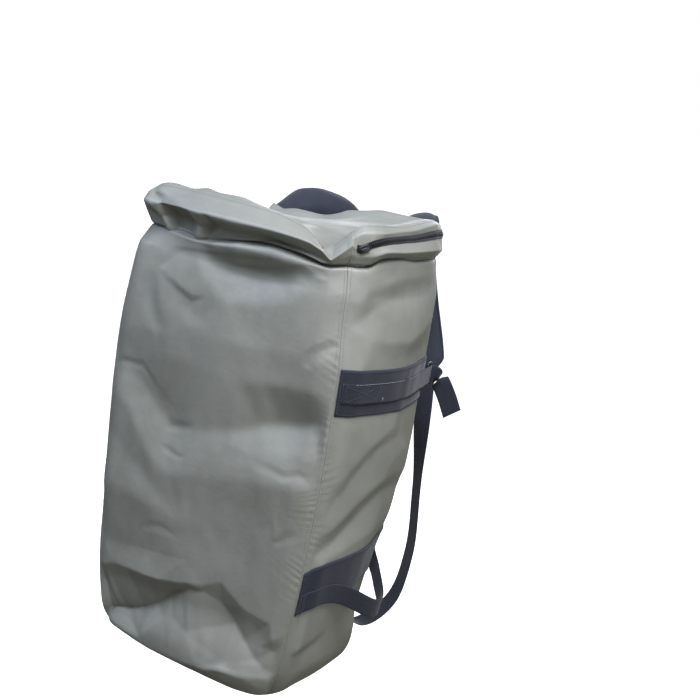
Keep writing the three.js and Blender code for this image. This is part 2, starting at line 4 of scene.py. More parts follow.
import bmesh
import bpy
import numpy as np
from mathutils import Matrix, Vector
from mathutils.geometry import delaunay_2d_cdt


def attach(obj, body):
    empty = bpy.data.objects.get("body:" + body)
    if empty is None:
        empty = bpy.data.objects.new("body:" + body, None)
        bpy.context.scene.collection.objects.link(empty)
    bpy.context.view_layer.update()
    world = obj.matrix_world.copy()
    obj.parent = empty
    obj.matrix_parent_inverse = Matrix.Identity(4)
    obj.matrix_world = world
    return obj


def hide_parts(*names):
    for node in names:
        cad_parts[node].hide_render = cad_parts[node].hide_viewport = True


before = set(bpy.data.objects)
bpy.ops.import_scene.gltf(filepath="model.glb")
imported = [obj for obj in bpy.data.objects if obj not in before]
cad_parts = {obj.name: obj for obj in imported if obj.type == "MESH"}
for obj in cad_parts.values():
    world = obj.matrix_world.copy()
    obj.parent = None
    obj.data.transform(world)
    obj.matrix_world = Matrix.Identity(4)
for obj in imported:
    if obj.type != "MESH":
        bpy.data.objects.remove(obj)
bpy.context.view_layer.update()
scene = bpy.context.scene

# Sizes are in millimetres in the bag's own frame, whose zero is the middle of the bottom seam.
MM = 0.001
SHOULDER = np.array([0.0, 184.0, 620.0])
WALL = 2.0
WEB = 1.6
BAND_WIDTH = 60.0
STRAP_WIDTH = 27.0
TOP_SINK = 24.0
BOTTOM_SAG = 14.0


def rows(text):
    """A table of numbers from lines of text."""
    return np.array([[float(word) for word in line.split()] for line in text.strip().splitlines()])


# Sections from the bottom seam to the top seam: height, the four sides, the corner radius and the swells
LEVELS = rows("""
0 -150 146 -94 84 30 3 4 2
14 -155 156 -109 90 31 5 5 2
42 -162 166 -118 84 32 8 7 3
100 -172 173 -122 70 34 10 9 3
180 -181 179 -123 83 40 10 11 4
300 -192 184 -124 125 44 10 15 4
428 -195 181 -124 130 42 10 21 4
520 -187 177 -122 134 40 9 20 3
552 -182 174 -118 134 38 7 14 3
569 -175 168 -108 132 34 3 8 2
579 -173 166 -105 131 33 2 6 2
593 -178 169 -116 131 34 4 6 2
610 -182 171 -125 129 34 6 7 2
626 -177 168 -121 124 32 6 6 2
640 -162 157 -106 114 30 4 3 1
""")
LEVEL_COLUMNS = "z left right rear front corner rear_swell side_swell front_swell"
COLUMN = {name: k for k, name in enumerate(LEVEL_COLUMNS.split())}
MIDDLE_Z = 300.0
TOP_Z = LEVELS[-1, 0]

# Broad dents and ridges: a line, how far its effect reaches, how far it moves the cloth, and the share of
# that at the line's start
FOLDS = rows("""
140 -112 640 40 -100 645 72 -4 6 -13 1
138 -130 614 112 -60 640 62 0 8 -26 1
-160 112 640 -40 112 640 112 2 -2 -34 1
-165 -90 640 -70 -90 645 90 0 0 -9 1
-168 0 640 -168 60 640 80 4 0 -14 1
-110 -92 0 90 -92 0 80 0 -2 -13 0.45
-100 -112 26 100 -112 42 62 0 -9 2 1
168 -110 560 168 -112 528 78 -8 5 0 1
""")

# Sharp folds of the sunken top end: as above, with a rounding at the crest in place of the last column
TOP_FOLDS = rows("""
118 -84 612 112 -30 622 24 0 0 -6 2
150 -50 640 150 80 640 42 0 0 9 8
-170 -20 640 -60 -60 632 40 0 0 -5 3
0 -70 628 90 -30 618 46 0 0 -6 3
-120 60 622 -20 20 612 44 0 0 -5 3
-70 113 618 6 113 622 50 0 0 11 10
""")

# The folded roll round the top. Each row is one fold, from the lower edge of the crease below the roll up to
# the top seam: its place in the panel, then for each share of the way along the side how far back, or how far
# to the right, it lies and its height
ROLL_FOOT = 548.0
ROLL_AT = {
    "rear": (0, 0.06, 0.13, 0.32, 0.56, 0.66, 0.76, 0.84, 0.89, 0.93, 1),
    "right": (0, 0.05, 0.1, 0.16, 0.34, 0.5, 0.8, 1),
}
ROLL_FOLDS = {
    "rear": rows("""
574 -97 571 -106 571 -113 572 -123 570 -125 580 -124 584 -122 581 -116 578 -114 576 -111 576 -97 580
579 -92 572 -99 573 -105 573 -108 571 -102 583 -103 587 -101 585 -98 581 -97 579 -95 579 -87 582
584 -97 574 -107 574 -111 574 -117 574 -118 585 -121 590 -122 588 -119 584 -116 581 -112 581 -97 585
596 -106 590 -111 591 -115 592 -119 592 -118 594 -114 593 -115 591 -115 588 -114 585 -112 583 -101 596
612 -112 603 -125 604 -132 606 -137 607 -137 607 -136 607 -135 606 -130 603 -125 597 -118 586 -104 608
628 -110 616 -119 619 -122 622 -125 623 -124 621 -122 619 -121 614 -119 606 -115 596 -107 596 -102 617
640 -97 630 -106 632 -107 632 -109 632 -106 630 -104 627 -103 620 -105 609 -107 597 -95 605 -91 623
"""),
    "right": rows("""
574 147 580 158 580 166 582 172 590 181 595 183 592 173 591 158 587
579 140 582 149 583 155 585 160 593 168 597 170 594 164 593 154 590
584 147 585 158 586 167 587 173 596 180 598 182 597 173 595 158 593
596 151 596 160 595 173 599 182 605 189 606 191 607 183 606 164 603
606 151 604 159 600 168 609 174 613 179 617 181 619 176 622 161 619
612 152 608 158 604 167 612 172 617 176 621 178 622 174 627 160 624
618 150 611 159 609 168 618 173 622 177 625 178 627 174 632 160 629
628 147 617 159 626 168 627 174 628 177 631 178 633 172 640 157 638
640 138 623 147 634 155 637 161 638 166 637 166 639 160 643 147 642
"""),
}

SIDES = {
    "rear": ((1, 0), (0, -1), "rear_swell"),
    "right": ((0, 1), (1, 0), "side_swell"),
    "front": ((-1, 0), (0, 1), "front_swell"),
    "left": ((0, -1), (-1, 0), "side_swell"),
}


def table_at(table, at, curved=True):
    """Every column of a table at these values of its first column, along smooth or straight lines."""
    at = np.asarray(at, float)
    last = len(table) - 1
    k = np.clip(np.searchsorted(table[:, 0], at, side="right") - 1, 0, last - 1)
    low, high = table[k], table[k + 1]
    span = high[..., :1] - low[..., :1]
    t = (at[..., None] - low[..., :1]) / span
    if not curved:
        return low + (high - low) * t
    before, after = table[np.maximum(k - 1, 0)], table[np.minimum(k + 2, last)]
    slope_low = (high - before) / (high[..., :1] - before[..., :1]) * span
    slope_high = (after - low) / (after[..., :1] - low[..., :1]) * span
    out = (2 * t**3 - 3 * t**2 + 1) * low + (t**3 - 2 * t**2 + t) * slope_low
    return out + (3 * t**2 - 2 * t**3) * high + (t**3 - t**2) * slope_high


def section(z):
    """Every column of the sections at these heights."""
    out = table_at(LEVELS, z)
    return {name: out[..., k] for name, k in COLUMN.items()}


def half_span(at, side):
    """Half the distance between the two sides that a side lies between."""
    first, last = ("left", "right") if SIDES[side][0][0] else ("rear", "front")
    return (at[last] - at[first]) / 2


def middle_of(at):
    """The middle of a section, to the right and to the front."""
    return (at["left"] + at["right"]) / 2, (at["rear"] + at["front"]) / 2


def wall_run(side, z):
    """The length of a side's section between its two seams."""
    at = section(z)
    return 2 * (half_span(at, side) - at["corner"] + at["corner"] * math.pi / 4)


def side_run(side, z=MIDDLE_Z):
    """The length of a side between its seams at one height."""
    return float(wall_run(side, z))


def plain_wall(side, s, z):
    """Points of a side before its folds: s runs from 0 to 1 between its seams."""
    along, out, swell_name = SIDES[side]
    at = section(z)
    middle_x, middle_y = middle_of(at)
    straight = half_span(at, side) - at["corner"]
    run = (2 * s - 1) * (straight + at["corner"] * math.pi / 4)
    turn = np.maximum(0, np.abs(run) - straight) / at["corner"]
    offset = np.sign(run) * (np.minimum(np.abs(run), straight) + at["corner"] * np.sin(turn))
    reach = straight + at["corner"] * math.sqrt(0.5)
    swell = at[swell_name] * (1 - np.minimum(1, (offset / reach) ** 2)) ** 2
    far = swell - at["corner"] * (1 - np.cos(turn))
    x, y = (middle_x, at[side]) if along[0] else (at[side], middle_y)
    x = x + along[0] * offset + out[0] * far
    y = y + along[1] * offset + out[1] * far
    return np.stack([x, y, z + 0 * s], -1)


def plain_end(is_top, side, s, t):
    """Points of an end panel before its folds: t runs from 0 at its seam to 1 at its middle."""
    seam_z = np.full_like(s, TOP_Z if is_top else 0.0)
    seam = plain_wall(side, s, seam_z)
    middle = np.stack([*middle_of(section(seam_z)), seam_z], -1)
    point = seam + (middle - seam) * t[..., None]
    point[..., 2] -= (TOP_SINK if is_top else BOTTOM_SAG) * (1 - (1 - t) ** 2)
    return point


def line_distance(points, start, end):
    """The distance of each point from a line, and the share of the way along it."""
    way = end - start
    share = np.clip(((points - start) @ way) / (way @ way), 0, 1)
    return np.linalg.norm(points - start - share[..., None] * way, axis=-1), share


def fold_rows(table):
    """Each fold of a table: its start, end and reach, how far it moves the cloth, and the last column."""
    return [(row[0:3], row[3:6], row[6], row[7:10], row[10]) for row in table]


def folded(points):
    """The plain points, moved by the broad dents and ridges."""
    out = points.copy()
    for start, end, reach, move, first_share in fold_rows(FOLDS):
        distance, share = line_distance(points, start, end)
        strength = (1 - np.minimum(1, distance / reach) ** 2) ** 2
        out += (strength * (first_share + (1 - first_share) * share))[..., None] * move
    base = out.copy()
    for start, end, reach, move, rounding in fold_rows(TOP_FOLDS):
        distance, _ = line_distance(base, start, end)
        sharp = np.sqrt(distance**2 + rounding**2) - rounding
        out += ((1 - np.minimum(1, sharp / reach)) ** 2)[..., None] * move
    return out


def unit(v):
    return v / np.maximum(np.linalg.norm(v, axis=-1, keepdims=True), 1e-9)


def smoothstep(x, low, high):
    """From 0 at low to 1 at high, which may be the smaller, with an even start and end."""
    t = np.clip((x - low) / (high - low), 0, 1)
    return t * t * (3 - 2 * t)


# Beside the notch at the rear right corner the folds are straight and sharp, elsewhere they run smoothly, and
# the notch draws that corner in: where along each side both begin and where they are complete
ROLL_SHARP = {"rear": (0.78, 0.86), "right": (0.2, 0.1)}
ROLL_DRAWN = {"rear": (0.8, 1.0), "right": (0.9, 0.0)}
# The axis along each side, the axis out of it, and the end of the side that is at the notch
ROLL_AXES = {"rear": (0, 1, 1.0), "right": (1, 0, 0.0)}
FOLD_ROUNDING, FOLD_ROUNDING_ALONG = 1.3, 0.004
ROUNDED_OVER = (-1, 0, 1)
ROLL_HEIGHTS = {side: folds[:, 0] for side, folds in ROLL_FOLDS.items()}
ROLL = {
    side: np.column_stack([ROLL_AT[side], *(fold[1:].reshape(-1, 2) for fold in folds)])
    for side, folds in ROLL_FOLDS.items()
}
ROLL_CORNER = {
    "rear": np.interp(ROLL_HEIGHTS["rear"], ROLL_HEIGHTS["right"], ROLL_FOLDS["right"][:, 1]),
    "right": np.interp(ROLL_HEIGHTS["right"], ROLL_HEIGHTS["rear"], ROLL_FOLDS["rear"][:, -2]),
}


def roll(side, s, z):
    """Points of the folded roll, between the straight runs of its folds."""
    s, z = np.broadcast_arrays(np.asarray(s, float), np.asarray(z, float))
    along, out, notch = ROLL_AXES[side]
    sharp = smoothstep(s, *ROLL_SHARP[side])[..., None]
    drawn = smoothstep(s, *ROLL_DRAWN[side])[..., None]
    lines = 0.0
    for shift in ROUNDED_OVER:
        place = np.clip(s + shift * FOLD_ROUNDING_ALONG, 0, 1)
        smooth, straight = (table_at(ROLL[side], place, curved)[..., 1:] for curved in (True, False))
        lines = lines + (smooth + (straight - smooth) * sharp) / len(ROUNDED_OVER)
    lines = lines.reshape(*s.shape, -1, 2)
    heights = ROLL_HEIGHTS[side]
    folds = plain_wall(side, s[..., None], np.broadcast_to(heights, (*s.shape, len(heights))))
    corner = plain_wall(side, np.full(heights.shape, notch), heights)[:, along]
    folds[..., along] += (ROLL_CORNER[side] - corner) * drawn
    folds[..., [out, 2]] = lines
    foot = folded(plain_wall(side, s, np.full(s.shape, ROLL_FOOT)))
    folds = np.concatenate([foot[..., None, :], folds], axis=-2)
    heights = np.array([ROLL_FOOT, *heights])
    points = 0.0
    for shift in ROUNDED_OVER:
        at = np.clip(z + shift * FOLD_ROUNDING, ROLL_FOOT, TOP_Z)
        k = np.clip(np.searchsorted(heights, at, side="right") - 1, 0, len(heights) - 2)
        low, high = (np.take_along_axis(folds, k[..., None, None] + up, axis=-2)[..., 0, :] for up in (0, 1))
        share = (at - heights[k]) / (heights[k + 1] - heights[k])
        points = points + (low + (high - low) * share[..., None]) / len(ROUNDED_OVER)
    return points


# The two other sides take the roll's shape at the seam that they share with it, and lose it along the side
ROLL_NEIGHBOUR = {"left": ("rear", 0.0, 1.0), "front": ("right", 1.0, 0.0)}
ROLL_LOST = 0.45


def broad_wall(side, s, z):
    """Points of a side with its broad folds and the roll at its top."""
    s, z = np.broadcast_arrays(np.asarray(s, float), np.asarray(z, float))
    points = folded(plain_wall(side, s, z))
    top = z > ROLL_FOOT
    if not top.any():
        return points
    if side in ROLL:
        points[top] = roll(side, s[top], z[top])
        return points
    neighbour, neighbour_s, own_s = ROLL_NEIGHBOUR[side]
    edge = np.full(z[top].shape, own_s)
    moved = roll(neighbour, np.full(edge.shape, neighbour_s), z[top]) - folded(plain_wall(side, edge, z[top]))
    points[top] += moved * smoothstep(np.abs(s[top] - own_s), ROLL_LOST, 0.0)[..., None]
    return points


# Small steps along a side and up it, over which its slope is measured
STEP_S = 0.004
STEP_Z = 1.5


def broad_normal(side, s, z):
    along = broad_wall(side, s + STEP_S, z) - broad_wall(side, s - STEP_S, z)
    up = broad_wall(side, s, z + STEP_Z) - broad_wall(side, s, z - STEP_Z)
    return unit(np.cross(along, up))


# Folds of the two sides that show: each line is one fold, by places along the side, heights, and how far the
# cloth stands out there. A line that starts with + goes on with the fold above it
FOLD_LINES = {
    "rear_soft": """
-178 338 1 -150 336 2 -125 314 2 -105 290 2 -80 268 2 -50 258 2 -20 264 2 20 274 2 60 284 3 100 292 4
+ 130 296 4 172 306 0
20 306 -2 60 318 -3 100 328 -6 130 332 -6 172 340 -2
-178 290 0 -120 258 1 -60 226 1 0 232 1 60 250 1 110 258 2 172 266 0
-178 370 -2 -150 374 -4 -128 370 -7 -107 352 -11 -88 334 -13 -68 317 -13 -48 318 -12 -27 324 -10 0 330 -9
+ 30 337 -10 50 346 -14 75 358 -18 98 367 -23 125 371 -23 150 378 -18 168 384 -8
-178 402 -1 -150 408 -1 -120 412 -1 -80 412 -1 -40 412 -1 0 408 -2 40 408 -3 75 414 -3 100 418 -3
+ 125 420 -3 150 420 -2 170 417 -1
-178 436 1 -120 440 1 -60 450 1 0 456 1 60 460 1 120 462 1 170 458 0
-136 524 -1 -130 497 -2.5 -123 476 -3 -115 458 -2.5 -106 444 -1
-119 516 0.5 -112 493 1.4 -104 474 1.4 -95 460 1 -86 450 0.5
-158 500 0 -144 470 0.5 -126 446 0.5
-100 506 0 -84 497 -1 -61 483 -1.8 -48 475 -1.8 -25 487 -1.2 -2 505 -0.5
-75 472 0.5 -50 460 1 -20 468 0.5
-72 558 -2 -40 551 -8 -4 545 -15 24 545 -17 54 549 -14 86 557 -7 128 566 -1
-30 516 -1 10 505 -3 50 512 -2 95 528 0 140 540 0
60 490 -1 38 480 -2.5 25 468 -2 18 456 0
-178 208 3 -140 212 6 -100 212 6 -60 206 4 -20 200 2
-178 120 -2 -140 124 -3 -100 128 -3 -60 132 -2 0 146 0 60 150 1 110 150 0 150 140 -1
20 205 1 70 190 -1 110 180 0
-195 582 0 -60 576 2 -30 574 5 0 576 6 60 581 6 100 580 5 190 584 0
-195 -6 0 190 -6 0
-195 -6 0 -195 582 0
190 -6 0 190 584 0
""",
    "rear": """
-112 12 -6 -60 14 4 0 13 11 50 21 13 84 30 13 115 30 9 140 34 5 160 38 0
87 38 4 105 44 1 128 47 -1 141 46 -1
-122 24 -20 -105 28 -24 -75 47 -24 -50 65 -20 -25 85 -14 -7 100 -9 8 111 -5 35 117 -3 62 109 -8 85 91 -11
+ 105 74 -11 128 54 -6
-26 58 -8 -10 62 -6 18 54 -1
-165 84 0 -143 92 1 -125 100 2 -100 103 3 -66 106 4 -39 109 4 -10 115 2 8 121 1 32 126 0
132 74 -5 150 72 -4 160 82 -2
148 90 0.5 162 98 0.5
-165 128 0 -100 136 0 0 150 0 60 140 0 100 116 0 140 110 0 165 108 0
-76 171 -0.3 -62 178 -0.6 -50 182 -0.6 -35 181 -0.4 -15 176 0
-80 177 0 -68 185 0.4 -48 190 0.4 -30 188 0.2 -10 184 0
-84 166 0 -60 168 0.5 -36 172 0.5 -12 170 0
100 233 0 112 246 0.6 121 249 1 126 235 1 127 222 0.7
104 226 0 118 236 0 121 222 0
131 219 -1 145 231 -1.2 158 240 -0.7
128 250 0 138 238 0 150 246 0
136 214 0 150 224 0 160 228 0
-80 284 0 -62 281 0 -40 278 0 -20 282 0
-76 290 0 -62 287 -1.2 -40 283 -1.2 -25 287 0
-80 295 0 -62 293 0 -40 289 0 -22 293 0
80 314 -0.5 105 310 -1.4 125 307 -1.8 145 314 -1.8 160 308 -0.8
80 322 0 105 318 0 125 315 0 145 322 0 160 318 0
80 304 0 105 302 0 125 299 0 145 305 0 160 300 0
-72 317 -0.5 -66 318 -1.3 -48 322 -1.3 -27 329 -0.5
-74 309 0 -48 313 0 -24 320 0
-74 327 0 -48 331 0 -26 338 0
-176 378 -0.6 -152 384 -1.4 -126 386 -1
-176 370 0 -152 376 0 -126 378 0
-176 386 0 -152 392 0 -126 394 0
-124 521 -0.6 -112 530 -1.2 -100 543 -1.2 -88 552 -0.6
-132 530 0 -118 540 1 -104 555 1
-108 520 0.5 -98 515 1.4 -78 507 2 -54 500 2 -42 510 1.4 -37 522 0.5 -48 540 0
-104 508 0 -82 500 -0.5 -56 491 -0.5 -34 502 0
100 574 2 121 560 1.5
92 566 0 112 552 0
118 572 0 134 560 0
168 486 -2 152 481 -2 140 472 -2 130 458 -1.4 122 450 -0.3
170 496 0 150 492 0.8 134 482 0.8 121 466 0
170 474 0 156 470 0 146 462 0 138 450 0
-195 582 0 190 584 0
-195 -6 0 190 -6 0
-195 -6 0 -195 582 0
190 -6 0 190 584 0
""",
    "right": """
-100 506 -2 -85 518 -4 -65 534 -4.5 -42 548 -4 -10 556 -3 40 560 -2 90 560 -1
-100 540 0 -80 550 1.5 -50 566 1.5 0 574 1 60 574 1
-70 495 3 -30 492 3 0 491 3.5 25 500 3.5 60 508 3 95 506 1
-30 470 0 0 472 -1.5 25 474 -3 60 478 -3 95 476 -2
-100 392 1 -60 398 -2 -20 398 -2
-100 272 -1 -85 292 -2 -58 322 -2.5 -25 350 -2 25 362 -1
-100 305 1 -75 325 1.5 -45 352 1.5 0 374 1
20 330 2 50 338 2.5 80 332 1
-102 212 -3 -75 228 -5 -50 248 -5.5 -25 267 -5 0 279 -5 30 283 -4.5 60 281 -4 95 278 -3
-102 236 0 -78 252 1 -53 272 1 -28 289 1 0 299 1 30 302 1 65 300 1 98 300 0.5
-90 200 1 -50 215 2.5 -20 225 3 15 232 3 50 236 2 95 240 1
-104 66 -2 -80 71 -2.5 -58 79 -1.5 -40 90 0
-98 76 1 -78 82 1 -60 92 1
-100 30 -1 -60 42 2 -20 48 2 20 50 1
50 110 -1 90 90 1
-120 590 0 120 590 0
-120 -6 0 120 -6 0
-120 -6 0 -120 590 0
120 -6 0 120 590 0
""",
    "roll": """
0 615 2 30 611 5 41 603 7 48 592 8 54 580 5
44 613 -1 50 609 -4 59 600 -7 66 590 -7 71 581 -4
8 590 0 22 598 0 32 588 0 42 579 0
114 614 0 115 598 6 106 581 5
99 612 0 99 598 -4 91 583 -3
130 612 0 131 598 -4 124 583 -3
2 633 -3 25 624 -4 44 617 -3
8 638 0 30 630 0.5 50 623 0.5
0 627 0.5 18 619 0.5 33 615 0.5
165 606 1.5 200 600 -1 235 604 1
-10 575 0 360 575 0
-10 645 0 360 645 0
-10 575 0 -10 645 0
360 575 0 360 645 0
""",
}
FOLD_SOFTNESS = {"rear_soft": 50, "rear": 3, "right": 22, "roll": 3}
# Where fold lines cross, the height comes from the corners round about, the near ones most
CORNER_MERGE, NEAREST, NEARNESS_POWER = 0.01, 0.1, 3
EDGE_SLACK, LAST_CELL = 1e-6, 1.001


class FoldMap:
    """Heights over fold lines, which are joined by flat facets with rounded edges."""

    def __init__(self, text, softness):
        points, edges, highs = [], [], []
        for line in text.strip().replace("\n+", "").splitlines():
            triples = np.array(line.split(), float).reshape(-1, 3)
            edges.extend((len(points) + k, len(points) + k + 1) for k in range(len(triples) - 1))
            points.extend(Vector(triple[:2]) for triple in triples)
            highs.extend(triples[:, 2])
        corners, _, facets, sources, _, _ = delaunay_2d_cdt(points, edges, [], 0, CORNER_MERGE)
        places = np.array([corner[:] for corner in corners])
        known = np.array([bool(source) for source in sources])
        heights = np.array([highs[source[0]] if source else 0.0 for source in sources])
        for k in np.nonzero(~known)[0]:
            near = np.maximum(np.linalg.norm(places[known] - places[k], axis=1), NEAREST) ** -NEARNESS_POWER
            heights[k] = (heights[known] * near).sum() / near.sum()
        self.low = np.floor(places.min(0))
        size = (np.ceil(places.max(0)) - self.low).astype(int) + 1
        grid = np.zeros(size)
        for facet in facets:
            self.fill(grid, places[list(facet)] - self.low, heights[list(facet)])
        for _ in range(softness):
            for axis in (0, 1):
                grid = 0.5 * grid + 0.25 * (np.roll(grid, 1, axis) + np.roll(grid, -1, axis))
        self.grid = grid

    @staticmethod
    def fill(grid, corners, heights):
        """Sets the heights of the places inside one facet."""
        low, high = np.floor(corners.min(0)).astype(int), np.ceil(corners.max(0)).astype(int)
        u, v = np.meshgrid(np.arange(low[0], high[0] + 1), np.arange(low[1], high[1] + 1), indexing="ij")
        a, b, c = corners
        (bu, bv), (cu, cv) = b - a, c - a
        area = bu * cv - bv * cu
        if abs(area) < EDGE_SLACK:
            return
        second = ((u - a[0]) * cv - (v - a[1]) * cu) / area
        third = ((v - a[1]) * bu - (u - a[0]) * bv) / area
        inside = (second >= -EDGE_SLACK) & (third >= -EDGE_SLACK) & (second + third <= 1 + EDGE_SLACK)
        at = heights[0] + second * (heights[1] - heights[0]) + third * (heights[2] - heights[0])
        grid[u[inside], v[inside]] = at[inside]

    def at(self, u, v):
        u = np.clip(u - self.low[0], 0, self.grid.shape[0] - LAST_CELL)
        v = np.clip(v - self.low[1], 0, self.grid.shape[1] - LAST_CELL)
        i, j = u.astype(int), v.astype(int)
        fu, fv = u - i, v - j
        low = self.grid[i, j] * (1 - fu) + self.grid[i + 1, j] * fu
        high = self.grid[i, j + 1] * (1 - fu) + self.grid[i + 1, j + 1] * fu
        return low * (1 - fv) + high * fv


FOLD_MAPS = {name: FoldMap(lines, FOLD_SOFTNESS[name]) for name, lines in FOLD_LINES.items()}

# Creases on the two hidden sides: a line by places along the side and heights, how far the cloth slopes to
# its left and to its right, its height out of the cloth, and how round its crest is
CREASES = {
    "front": rows("""
-110 95 -40 200 30 44 -2.4 4
110 95 40 210 44 30 -2.4 4
-118 560 -60 470 30 40 -2.4 4
118 540 50 450 36 26 -2.2 4
-150 330 -40 372 30 40 -2.6 5
150 300 30 340 40 30 -2.2 5
-60 60 70 40 20 24 -2 3
0 250 60 300 30 30 1.6 5
"""),
    "left": rows("""
-92 540 80 486 34 44 -3 4
-80 360 70 318 30 36 -2.6 5
80 120 -20 74 20 28 -2.6 3
-90 250 -10 300 26 36 -2 4
60 400 96 340 20 20 1.8 3
"""),
}

# The rear panel's folds give way to those of its roll between these heights
ROLL_MAP_FROM, ROLL_MAP_TO = 571.0, 575.0
CREASE_END_SHARE, CREASE_SLOPE = 0.6, 1.5


def creased(side, points, s, z):
    """How far the creases move each point along its normal."""
    along = SIDES[side][0]
    level = points[..., 0] * along[0] + points[..., 1] * along[1]
    if side in FOLD_MAPS:
        below = smoothstep(z, ROLL_MAP_TO, ROLL_MAP_FROM)
        high = FOLD_MAPS[side].at(level, points[..., 2]) * below
        if side == "rear":
            high = high + FOLD_MAPS["rear_soft"].at(level, points[..., 2]) * below
            high = high + FOLD_MAPS["roll"].at(s * side_run(side), z) * (1 - below)
        return high
    high = np.zeros(level.shape)
    for x1, z1, x2, z2, left, right, height, crest in CREASES[side]:
        length = math.hypot(x2 - x1, z2 - z1)
        way_x, way_z = (x2 - x1) / length, (z2 - z1) / length
        off_x, off_z = level - x1, points[..., 2] - z1
        far = off_x * way_x + off_z * way_z
        aside = way_x * off_z - way_z * off_x
        reach = np.where(aside > 0, left, right)
        beyond = np.maximum(0, np.maximum(-far, far - length)) / ((left + right) / 2)
        share = np.sqrt((aside / reach) ** 2 + beyond**2 + (crest / reach) ** 2) - crest / reach
        arch = np.sin(math.pi * np.clip(far / length, 0, 1))
        strength = CREASE_END_SHARE + (1 - CREASE_END_SHARE) * arch
        high += height * strength * np.clip(1 - share, 0, 1) ** CREASE_SLOPE
    return high


# Shallow facets of slack cloth: a lattice of triangles, its skew and stretch, and the seeds of its corners
LATTICE_SKEW, LATTICE_STRETCH = 0.5773, 1.1547
SEED_ALONG, SEED_UP, SEED_STEP, SEED_SCALE = 127.1, 311.7, 74.7, 43758.5453
# Waves that bend the facets' edges, for a facet 1 wide: their height, their rate and their turn for each seed
BEND_ALONG = ((0.22, 2.1, 1), (0.1, 5.3, 2))
BEND_UP = ((0.22, 1.9, 3), (0.1, 4.7, 1))
BLUR_PLACES, BLUR_TURN = 6, 0.4
# The facets come in two sizes: height, width and rounding
BROAD_FACETS, SMALL_FACETS = (1.6, 95.0, 7.0), (0.7, 41.0, 4.0)
SMALL_SEED = 5
FACET_COS, FACET_SIN = 0.8, 0.6
FACET_FREE, FACET_BOTTOM, FACET_TOP = 0.08, (4.0, 30.0), (2.0, 30.0)


def lattice(u, v, size, seed):
    """Heights from -1 to 1 over flat facets: a lattice of triangles with seeded corners."""
    x = u / size + LATTICE_SKEW * v / size
    y = LATTICE_STRETCH * v / size
    i, j = np.floor(x), np.floor(y)
    fx, fy = x - i, y - j

    def corner(a, b):
        k = np.sin((i + a) * SEED_ALONG + (j + b) * SEED_UP + seed * SEED_STEP) * SEED_SCALE
        return 2 * (k - np.floor(k)) - 1

    right, top = corner(1, 0), corner(0, 1)
    upper = corner(1, 1) * (fx + fy - 1) + right * (1 - fy) + top * (1 - fx)
    lower = corner(0, 0) * (1 - fx - fy) + right * fx + top * fy
    return np.where(fx + fy > 1, upper, lower)


def bend(at, size, seed, waves):
    """How far the waves move a place in one direction, by its place in the other."""
    return sum(high * size * np.sin(at / size * rate + turn * seed) for high, rate, turn in waves)


def facets(u, v, size, seed, blur):
    """The lattice with bent and rounded edges."""
    bent_u = u + bend(v, size, seed, BEND_ALONG)
    bent_v = v + bend(u, size, seed, BEND_UP)
    total = lattice(bent_u, bent_v, size, seed)
    for k in range(BLUR_PLACES):
        a = 2 * math.pi * k / BLUR_PLACES + BLUR_TURN
        total = total + lattice(bent_u + blur * math.cos(a), bent_v + blur * math.sin(a), size, seed)
    return total / (BLUR_PLACES + 1)


def dented(side, s, z):
    """How far the shallow facets move each point, which is nothing at the seams."""
    u = s * wall_run(side, z)
    turned_u, turned_v = FACET_COS * u - FACET_SIN * z, FACET_SIN * u + FACET_COS * z
    seed = 1.0 + list(SIDES).index(side)
    high, size, blur = BROAD_FACETS
    broad = high * facets(turned_u, turned_v, size, seed, blur)
    high, size, blur = SMALL_FACETS
    small = high * facets(turned_v, turned_u, size, seed + SMALL_SEED, blur)
    inside = smoothstep(z, *FACET_BOTTOM) * smoothstep(TOP_Z - z, *FACET_TOP)
    return (broad + small) * inside * smoothstep(np.minimum(s, 1 - s), 0.0, FACET_FREE)


# Gathers at the stitched upright seams, made uneven by slow waves, each given by its size, its length
# and its turn for each seed
PUCKER_PITCH, PUCKER_HEIGHT, PUCKER_SEEDS = 10.0, 0.42, (1.0, 4.2)
LEAN, LEAN_WAVES = 0.5, ((41.0, 3),)
SHIFTS, SHIFT_WAVES = (2.6, 1.7), ((19.0, 1), (8.3, 2))
STRENGTHS, STRENGTH_WAVES = (0.5, 0.4), ((53.0, 2.7), (15.0, 5.1))
REACH_LEAST, REACHES, REACH_WAVES = 8.0, (6.0, 4.0), ((23.0, 5), (9.1, 1))
PUCKER_START, PUCKER_BOTTOM, PUCKER_TOP = (0.0, 3.0), (5.0, 30.0), (560.0, 540.0)
# They are strongest along the middle of the rear right seam
STRONG_KEPT, STRONG, STRONG_WAVES = 0.35, 0.45, ((15.0, 1.9),)
STRONG_BOTTOM, STRONG_TOP = (90.0, 190.0), (560.0, 470.0)


def slow_waves(at, seed, waves):
    """The waves at a place, each from its length and its turn for each seed."""
    return [np.sin(at / length + turn * seed) for length, turn in waves]


